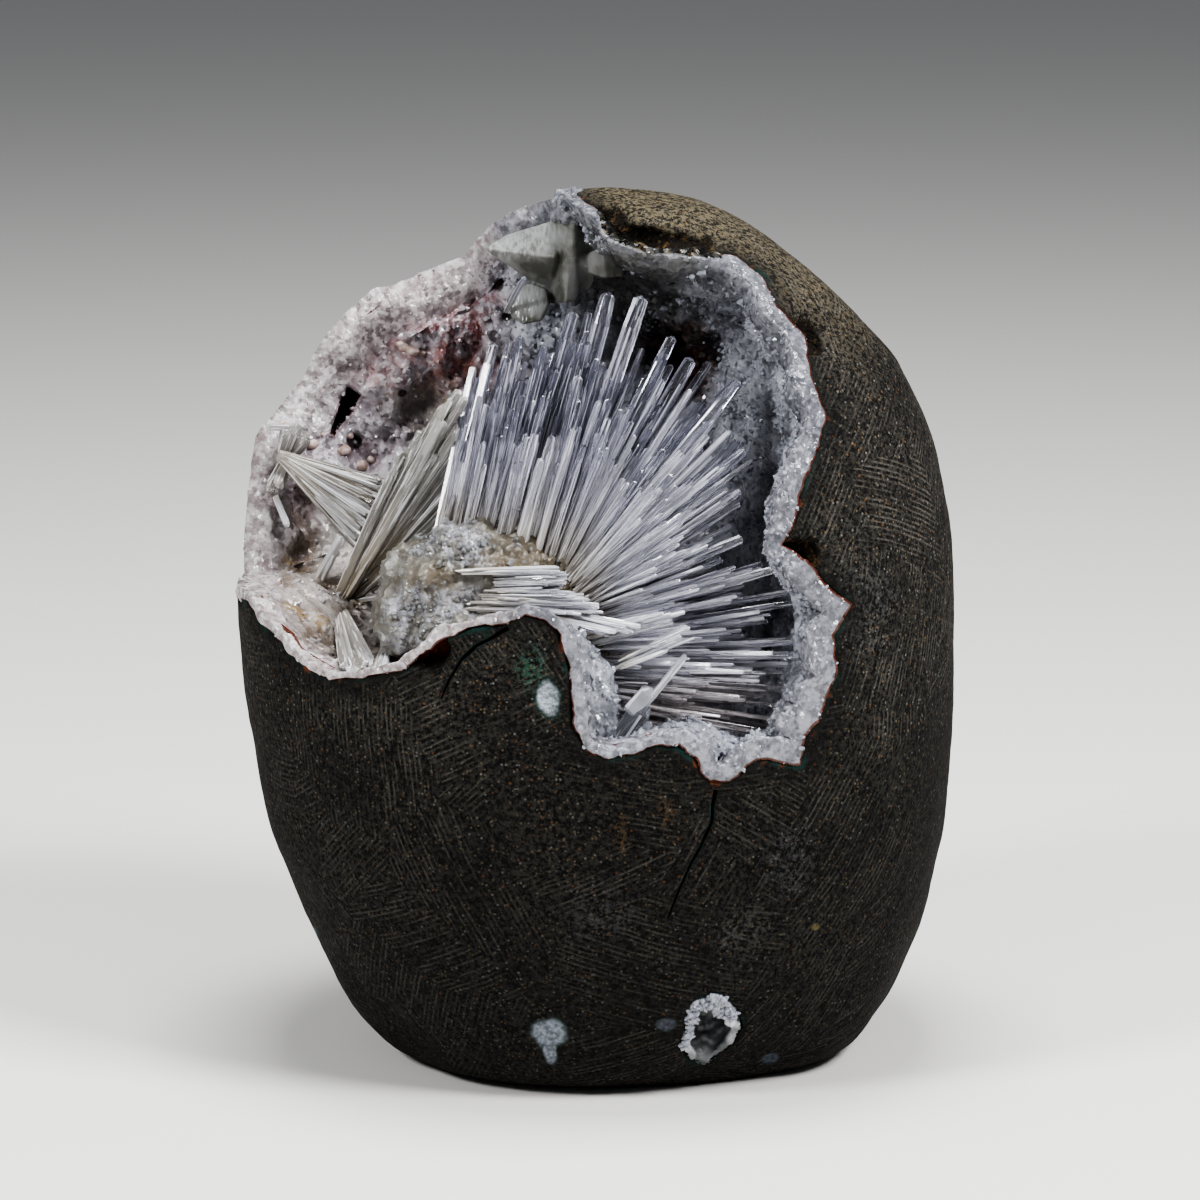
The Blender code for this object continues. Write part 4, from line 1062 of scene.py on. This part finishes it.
def scolecite(name, clear, root_colour, tip_colour, streaks, low_tint=None):
    """Glassy needle crystal with painted highlights on its bevelled edges and white veils along it, milky
    where it grew first.
    """
    finish, tree, shader = new_finish(name, {"IOR": 1.51, "Roughness": 0.08, "Specular IOR Level": 0.6})
    fibre = stored(tree, "fibre", "Vector")
    veil = level(tree, clouds(tree, fibre, 1.6, 2, 0.6), 0.56, 0.62)
    older = level(tree, stored(tree, "grown"), 0.6, 0.08)
    own = stored(tree, "milk")
    # Painted highlight: the narrow bevelled faces along the edges are made white and less clear.
    painted_edge_highlight = times(tree, stored(tree, "narrow"), 0.55)
    milk = plus(tree, own, times(tree, veil, streaks))
    milk = plus(tree, calc(tree, "MAXIMUM", milk, painted_edge_highlight), times(tree, older, 0.5))
    tree.links.new(level(tree, milk, 0, 1, clear, 0.1), shader.inputs["Transmission Weight"])
    colour = tint(tree, level(tree, own, 0.15, 0.8), tip_colour, (0.8, 0.81, 0.86))
    colour = tint(tree, older, colour, root_colour)
    colour = tint(tree, calc(tree, "MAXIMUM", times(tree, veil, 0.8), painted_edge_highlight), colour, (0.92, 0.92, 0.96))
    if low_tint:
        # The highest needles are painted darker: painted shade from the shaded roof behind them. The lowest
        # are warmer, with small dark specks.
        place = object_place(tree)
        height = node(tree, "SeparateXYZ", {0: place}).outputs[2]
        painted_high_shade = level(tree, height, 124 * MM, 154 * MM)
        colour = tint(tree, painted_high_shade, colour, tint(tree, 1.0, colour, (0.72, 0.725, 0.76), "MULTIPLY"))
        below = level(tree, height, 100 * MM, 90 * MM)
        colour = tint(tree, below, colour, tint(tree, 1.0, colour, low_tint, "MULTIPLY"))
        speck = level(tree, clouds(tree, place, 420, 0), 0.74, 0.78)
        colour = tint(tree, times(tree, times(tree, speck, below), 0.75), colour, (0.08, 0.06, 0.04))
    tree.links.new(colour, shader.inputs["Base Color"])
    tree.links.new(level(tree, own, 0, 0.5, 0.04, 0.2), shader.inputs["Roughness"])
    return finish


# The spray's outline, clockwise: each row is a root and a tip in the picture with their depths,
# and the width of the needles there.
SPRAY = (
    ((438, 528, -26), (474, 366, -12), 1.7), ((450, 521, -30), (494, 343, -18), 2.0),
    ((472, 543, -33), (521, 336, -20), 2.4), ((494, 547, -35), (545, 345, -26), 2.4),
    ((508, 547, -36), (574, 312, -22), 2.6),
    ((538, 560, -38), (609, 292, -26), 3.4), ((552, 560, -38), (642, 296, -26), 3.0),
    ((560, 565, -38), (673, 336, -24), 2.6), ((569, 569, -38), (692, 358, -22), 2.8),
    ((571, 582, -38), (739, 380, -30), 2.8), ((576, 591, -38), (745, 450, -34), 2.0),
    ((580, 600, -38), (741, 490, -36), 1.8), ((580, 609, -38), (743, 538, -38), 1.8),
    ((576, 626, -38), (776, 569, -40), 1.7), ((560, 640, -40), (800, 602, -42), 1.5),
    ((543, 655, -40), (798, 655, -46), 1.4), ((521, 675, -40), (798, 690, -48), 1.5),
    ((521, 690, -40), (776, 734, -50), 1.4), ((521, 699, -40), (725, 765, -50), 1.4),
)  # fmt: skip


# The layers of the spray: how far to the front, and the share of the full length.
LAYERS = ((0, 1), (0.15, 0.96), (0.3, 0.89), (0.45, 0.82), (0.6, 0.74), (0.78, 0.63), (1, 0.5))


def spray_rows(seed):
    """The needles row behind row. Those in front are the shorter ones and lean forward."""
    rnd = random.Random(seed)
    rows = [(seen(*root), seen(*tip), wide * MM, 0.95, 0.05) for root, tip, wide in SPRAY]
    for front, longest in LAYERS:
        at = rnd.uniform(0, 0.3)
        while at < len(SPRAY) - 1.01:
            low, part = int(at), at % 1
            one, next_one = SPRAY[low], SPRAY[low + 1]
            root, tip = ([a + (b - a) * part for a, b in zip(one[side], next_one[side])] for side in (0, 1))
            size = (one[2] + (next_one[2] - one[2]) * part) * rnd.uniform(0.45, 0.92) * (1 - 0.4 * front)
            sums = [[a + b for a, b in zip(*guide[:2])] for guide in (one, next_one)]
            gap = math.dist(*sums) / (2 * per_mm)
            at += size * rnd.uniform(0.85, 1.5) * max(1, 1.6 - 1.3 * front) / gap
            reach = longest * rnd.uniform(0.72, 1.03)
            aside = rnd.choice((4, 4, 4, 10))
            root = [root[0] + rnd.uniform(-5, 5), root[1] + rnd.uniform(-5, 5), root[2] + 5 - 9 * front]
            tip = [a + (b - a) * reach + rnd.uniform(-aside, aside) for a, b in zip(root, tip)]
            tip[2] += 6 - 16 * front
            milk = rnd.choice((0, 0, 0, 0, 0.05, 0.1, 0.15, 0.35)) + 0.3 * (low > 8) * rnd.random()
            rows.append((seen(*root), seen(*tip), size * MM, rnd.uniform(0.7, 1), milk))
    return rows


spray = grown("main_spray", spray_rows(3), 11)
clear_needles = scolecite("scolecite", 0.96, (0.62, 0.58, 0.54), (0.88, 0.88, 0.95), 0.45, (0.98, 0.93, 0.87))
spray.data.materials.append(clear_needles)
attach(spray, "root")
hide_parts("crystal_crust")

# The silky sheaf and the small prisms in front.
# A sheaf of fine white needles lies across the foot of the main spray, over the rock's nose, and
# a knot of smooth grey prisms stands at the edge to the right of the nose.


def bundle(first, last, count, seed, width, spread=(0.4, 1.0), milk=(0.4, 0.8), flat=(0.5, 1.0)):
    """Needles between two guides, each a root and a tip in the picture with their depths."""
    rnd = random.Random(seed)
    rows = []
    for k in range(count):
        part = (k + rnd.random()) / count
        ends = [[a + (b - a) * part for a, b in zip(first[j], last[j])] for j in (0, 1)]
        root, tip = ends
        start, end = rnd.uniform(0, 0.3) * (spread[0] < 0.9), rnd.uniform(*spread)
        a = [root[j] + (tip[j] - root[j]) * start for j in range(3)]
        b = [root[j] + (tip[j] - root[j]) * end for j in range(3)]
        a[2] += rnd.uniform(-2, 2)
        b[2] += rnd.uniform(-2.5, 2.5)
        rows.append((seen(*a), seen(*b), rnd.uniform(*width) * MM, rnd.uniform(*flat), rnd.uniform(*milk)))
    return rows


# Two guides, the number of needles, the seed, their widths, reach and milkiness.
milk = (0.0, 0.5)
rows = []
for first, last, *rest in (
    (((438, 570, -46), (560, 566, -52)), ((442, 574, -46), (566, 574, -53)),
     12, 1, (0.3, 0.6), (0.85, 1), (0.2, 0.8)),
    (((440, 576, -42), (570, 572, -52)), ((442, 596, -43), (566, 590, -53)),
     60, 1, (0.4, 0.9), (0.7, 1), milk),
    (((462, 590, -46), (586, 592, -55)), ((458, 612, -46), (600, 616, -56)),
     80, 2, (0.4, 1.0), (0.7, 1), milk),
    (((480, 596, -49), (618, 604, -57)), ((480, 606, -49), (600, 618, -57)),
     14, 2, (0.4, 1.0), (0.7, 1), (0.3, 0.9)),
    (((540, 606, -52), (654, 626, -58)), ((540, 616, -52), (620, 640, -58)),
     16, 3, (0.6, 1.3), (0.6, 1), milk),
    (((556, 640, -50), (698, 604, -57)), ((556, 656, -50), (692, 622, -57)),
     10, 4, (0.5, 1.1), (0.6, 1), milk),
    (((600, 668, -52), (692, 622, -59)), ((604, 674, -52), (696, 640, -59)),
     9, 5, (0.5, 1.2), (0.7, 1), (0.1, 0.4)),
):  # fmt: skip
    rows += bundle(first, last, *rest)
sheaf = grown("silky_sheaf", rows, 12)
sheaf.data.materials.append(scolecite("silky_scolecite", 0.85, (0.5, 0.47, 0.43), (0.82, 0.82, 0.87), 0.6))
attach(sheaf, "root")
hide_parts("crystal_crust")

rows = [
    (seen(606, 762, -58), seen(646, 702, -58), 4.2 * MM, 0.6, 0.1),
    (seen(600, 757, -57), seen(636, 712, -58), 3.0 * MM, 0.7, 0.15),
    (seen(594, 744, -56), seen(640, 714, -58), 2.2 * MM, 0.7, 0.2),
    (seen(612, 764, -58), seen(652, 722, -59), 2.6 * MM, 0.7, 0.1),
    (seen(628, 712, -58), seen(652, 688, -58), 3.6 * MM, 0.9, 0.35),
    (seen(640, 712, -58), seen(686, 655, -59), 1.4 * MM, 0.9, 0.4),
    (seen(600, 748, -56), seen(622, 735, -58), 2.8 * MM, 0.8, 0.15),
]
prisms = grown("grey_prisms", rows, 13)
prisms.data.materials.append(scolecite("grey_scolecite", 0.85, (0.34, 0.35, 0.38), (0.5, 0.51, 0.56), 0.2))
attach(prisms, "root")
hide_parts("crystal_crust")

# The left spray and the bow-tie.
# A second spray grows from the lining on the left, with one long bundle that leans across to the
# main spray. Behind it stands a tan and white bow-tie of needles grown solid side by side.


def rooted(px, py, into=1.0):
    """The depth in millimetres of the lining at that place in the picture, and a little into it."""
    return (on_wall(px, py).y / MM) + into - 5.5


star = rooted(340, 600)
knot = rooted(285, 455)
rows = bundle(((334, 604, star), (396, 462, star - 16)), ((340, 604, star), (462, 386, star - 26)), 24, 4,
              (1.7, 2.7), (0.86, 1.0), (0.05, 0.35), (0.7, 1))
rows += bundle(((340, 606, star), (450, 392, star - 29)), ((346, 606, star), (506, 404, star - 27)), 26, 5,
               (1.5, 2.5), (0.72, 1.0), (0.05, 0.4), (0.7, 1))
rows += bundle(((344, 606, star), (500, 430, star - 24)), ((350, 604, star), (462, 540, star - 15)), 22, 6,
               (1.0, 1.9), (0.6, 0.95), (0.1, 0.5), (0.7, 1))
rows += [
    (seen(312, 588, star + 2), seen(342, 537, star - 8), 1.8 * MM, 0.8, 0.5),
    (seen(318, 590, star + 2), seen(334, 556, star - 6), 1.3 * MM, 0.8, 0.5),
    (seen(345, 602, star), seen(388, 596, star - 8), 1.3 * MM, 0.8, 0.4),
    (seen(350, 603, star), seen(372, 622, star - 8), 1.2 * MM, 0.8, 0.4),
    (seen(335, 600, star), seen(300, 604, star - 6), 1.6 * MM, 0.8, 0.7),
    (seen(272, 488, knot), seen(288, 527, knot - 6), 1.7 * MM, 0.9, 0.6),
]
left_spray = grown("left_spray", rows, 14)
left_spray.data.materials.append(scolecite("straw_scolecite", 0.93, (0.56, 0.5, 0.4), (0.9, 0.88, 0.83), 0.5))
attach(left_spray, "root")
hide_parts("crystal_crust")

rows = bundle(((280, 452, knot - 3), (390, 482, knot - 12)), ((278, 458, knot - 3), (360, 552, knot - 14)),
              190, 7, (0.6, 1.4), (0.9, 1.0), (0.1, 0.6), (0.7, 1.3))
rows += bundle(((336, 608, star - 2), (344, 672, -52)), ((341, 608, star - 2), (374, 668, -52)), 30, 8,
               (1.2, 2.2), (0.9, 1.0), (0.3, 0.7), (0.7, 1.2))
rows += bundle(((388, 640, -30), (374, 672, -54)), ((392, 640, -30), (384, 670, -54)), 8, 9,
               (1.0, 1.8), (0.9, 1.0), (0.4, 0.7), (0.7, 1.2))
rows += [
    (seen(283, 458, knot), seen(296, 424, knot - 5), 3.6 * MM, 0.7, 0.45),
    (seen(290, 456, knot), seen(306, 436, knot - 4), 3.0 * MM, 0.8, 0.4),
    (seen(280, 455, knot), seen(287, 430, knot - 6), 2.6 * MM, 0.8, 0.45),
    (seen(300, 428, knot - 1), seen(266, 427, knot - 7), 1.5 * MM, 0.9, 0.5),
    (seen(284, 462, knot), seen(268, 492, knot - 6), 3.0 * MM, 0.7, 0.4),
    (seen(288, 462, knot), seen(277, 488, knot - 7), 2.4 * MM, 0.7, 0.4),
]
bow_tie = grown("bow_tie", rows, 15)
bow_tie.data.materials.append(scolecite("tan_scolecite", 0.8, (0.38, 0.35, 0.3), (0.36, 0.32, 0.26), 0.25))
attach(bow_tie, "root")
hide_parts("crystal_crust")

# The blades of stilbite.
# Milky, half see-through blades at the top of the hollow: a sharp wedge, a thick column, a block
# below it and a rounded lobe, with one clear little blade beside them.

# The corners of each blade in the picture, with their depths in millimetres.
BLADES = (
    ((482, 248, 8), (556, 257, -2), (560, 218, 10), (508, 234, 11), (504, 262, 9), (528, 280, 8),
     (550, 293, 7), (566, 270, 4), (500, 246, 16), (556, 228, 20), (545, 285, 18)),
    ((545, 228, 6), (549, 304, 7), (560, 218, -1), (565, 303, 0), (574, 216, -4), (577, 300, 0),
     (601, 218, 4), (592, 246, 3), (584, 276, 5), (560, 205, 12), (596, 205, 12), (582, 296, 12),
     (552, 300, 14)),
    ((509, 300, 3), (514, 288, 4), (531, 283, 4), (546, 289, 3), (549, 305, 1), (541, 321, 0),
     (523, 325, 0), (511, 317, 2), (506, 300, 16), (514, 288, 17), (546, 288, 17), (550, 312, 16),
     (528, 282, 17)),
    ((584, 256, 0), (592, 250, -1), (606, 251, -2), (620, 255, -1), (628, 264, 0), (624, 277, -1),
     (606, 279, -2), (588, 274, 0), (580, 262, 12), (624, 268, 13)),
    ((566, 240, 2), (596, 236, 3), (602, 252, 0), (598, 272, 0), (590, 290, 2), (572, 296, 3),
     (570, 262, -1), (596, 250, 12), (586, 290, 12), (570, 250, 12)),
    ((566, 298, 3), (572, 292, 1), (580, 294, 2), (582, 302, 4), (574, 308, 3), (574, 300, -1),
     (570, 300, 10)),
)  # fmt: skip
blades = []
for corners in BLADES:
    made = net("blade", [seen(*corner) for corner in corners], [])
    wrapped(made)
    finish_with(made, "BEVEL", width=0.4 * MM, segments=2, limit_method="ANGLE", angle_limit=math.radians(12))
    blades.append(made)
stilbite = joined(blades, "stilbite_blades")
finish_with(stilbite, "REMESH", mode="VOXEL", voxel_size=0.36 * MM)
relief(stilbite, "CLOUDS", 7 * MM, 0.4 * MM)
bpy.ops.object.shade_smooth()
pearly, tree, shader = new_finish("stilbite", {
    "Roughness": 0.2, "IOR": 1.5, "Transmission Weight": 0.35, "Subsurface Weight": 0.3,
    "Subsurface Scale": 4 * MM, "Subsurface Radius": (1, 0.95, 0.85)})  # fmt: skip
place = object_place(tree)
soft = level(tree, clouds(tree, place, 130, 4, 0.6), 0.38, 0.6)
colour = tint(tree, soft, (0.13, 0.13, 0.11), (0.31, 0.315, 0.3))
drawn = clouds(tree, vector(tree, "MULTIPLY", place, (1500, 500, 260)), 1, 3)
for at, reach, turn in (((520, 240, 8), (13, 12, 4.2), 0.22), ((526, 296, 2), (4, 5, 4), 0)):
    pale = spot(tree, place, seen(*at), Vector(reach) * MM, turn, 0.5, 200, 0.4)
    pale = times(tree, pale, level(tree, drawn, 0.35, 0.62, 0.35, 0.95))
    colour = tint(tree, pale, colour, (0.5, 0.51, 0.51))
tree.links.new(colour, shader.inputs["Base Color"])
bump = node(tree, "Bump", {"Height": drawn, "Strength": 0.6, "Distance": 0.3 * MM})
tree.links.new(bump.outputs[0], shader.inputs["Normal"])
stilbite.data.materials.append(pearly)
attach(stilbite, "root")
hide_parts("crystal_crust")

# The sugary cap on the column, and the clear little blade at the block.
CAP_LUMPS = (
    ((571, 200, 2), (4.2, 4, 2.8)), ((584, 208, 0), (3.4, 4, 2.6)), ((560, 212, 2), (2.6, 3, 2.8)),
    ((574, 214, -1), (4.4, 3.4, 2.4)), ((592, 220, 0), (2.2, 3, 2)),
)  # fmt: skip
cap = joined([lump(seen(*at), reach) for at, reach in CAP_LUMPS], "sugary_cap")
finish_with(cap, "REMESH", mode="VOXEL", voxel_size=0.45 * MM)
relief(cap, "VORONOI", 2 * MM, -1.5 * MM)
relief(cap, "CLOUDS", 1 * MM, 0.6 * MM)
bpy.ops.object.shade_smooth()
cap.data.materials.append(lining.data.materials[0])
for name, value in (("raised", 8.5), ("lip", 1.0), ("edge", 0.0), ("bare", 0.0)):
    note(cap, name, np.full(len(cap.data.vertices), value))
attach(cap, "root")
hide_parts("crystal_crust")
little = grown("clear_blade", [(seen(506, 312, 2), seen(525, 277, -3), 1.7 * MM, 0.6, 0.5)], 16)
little.data.materials.append(clear_needles)
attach(little, "root")
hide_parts("crystal_crust")

# The small vug.
# A bubble low on the front with a crust of grey-white quartz of its own, thick at its upper end
# and open below.

vug = copy_of("small_vug_crust", "vug_quartz")
finish_with(vug, "REMESH", mode="VOXEL", voxel_size=0.4 * MM)
relief(vug, "CLOUDS", 3 * MM, 1.2 * MM)
relief(vug, "VORONOI", 1.6 * MM, -0.8 * MM)
bpy.ops.object.shade_smooth()
front = points_of(vug).min(axis=0)[1]
vug_places, vug_ways = spread_over(vug, 420, rng, lambda p: p[1] < front / MM + 5)
vug_ways = unit(vug_ways + rng.normal(scale=0.5, size=vug_ways.shape))
vug_sizes = rng.uniform(0.5, 1.1, len(vug_ways)) ** 1.5 * 1.3 * MM
glitter = scattered("vug_points", quartz_point, vug_places - vug_ways * vug_sizes[:, None] * 0.6, vug_ways,
                    vug_sizes, rng, (0.8, 1.3))  # fmt: skip
glitter.data.materials.append(shine)
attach(glitter, "root")
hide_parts("small_vug_crust")
greyish, tree, shader = new_finish("vug_druse", {"Roughness": 0.35, "IOR": 1.54})
place = object_place(tree)
soft = level(tree, clouds(tree, place, 350, 4), 0.38, 0.62)
colour = tint(tree, soft, (0.3, 0.32, 0.34), (0.66, 0.69, 0.72))
# Painted shade: the crust darkens deeper inside the bubble.
dark = level(tree, node(tree, "SeparateXYZ", {0: place}).outputs[1], front + 4.5 * MM, front + 9.5 * MM)
colour = tint(tree, times(tree, dark, 0.8), colour, (0.02, 0.02, 0.018))
tree.links.new(colour, shader.inputs["Base Color"])
vug.data.materials.append(greyish)
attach(vug, "root")
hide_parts("small_vug_crust")

# The light, the floor and the camera.
# A wide, plain, pale floor, three soft lamps, and the camera looking down a little on the front,
# as the photograph does.

bpy.ops.mesh.primitive_plane_add(size=60, location=(0, 0, 0))
floor = bpy.context.object
floor.name = "floor"
paper, tree, shader = new_finish("pale_paper", {"Base Color": (0.78, 0.77, 0.75, 1), "Roughness": 0.9})
floor.data.materials.append(paper)
floor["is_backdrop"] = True
world = bpy.data.worlds.new("studio")
bpy.context.scene.world = world
world.use_nodes = True
world.node_tree.nodes["Background"].inputs[0].default_value = (0.82, 0.84, 0.88, 1)
world.node_tree.nodes["Background"].inputs[1].default_value = 0.2
bpy.context.scene.view_settings.look = "AgX - High Contrast"
for name, place, size, power in (
    ("key", (0.7, -0.5, 0.9), 0.35, 14),
    ("fill", (-0.9, -0.6, 0.85), 0.3, 10),
    ("top", (0.0, 0.0, 1.2), 0.4, 9),
):
    bpy.ops.object.light_add(type="AREA", location=place)
    lamp = bpy.context.object
    lamp.name = name
    lamp.data.size = size
    lamp.data.energy = power
    lamp.rotation_euler = (Vector((0, 0, 0.11)) - Vector(place)).to_track_quat("-Z", "Y").to_euler()
bpy.ops.object.camera_add(location=EYE, rotation=(math.pi / 2 - VIEW_DOWN, 0, 0))
camera = bpy.context.object
camera.data.lens = 132
camera.data.sensor_width = 36
bpy.context.scene.camera = camera

sizes = {"cad": [list(c) for c in cad_box], "visual": [list(c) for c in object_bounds()]}
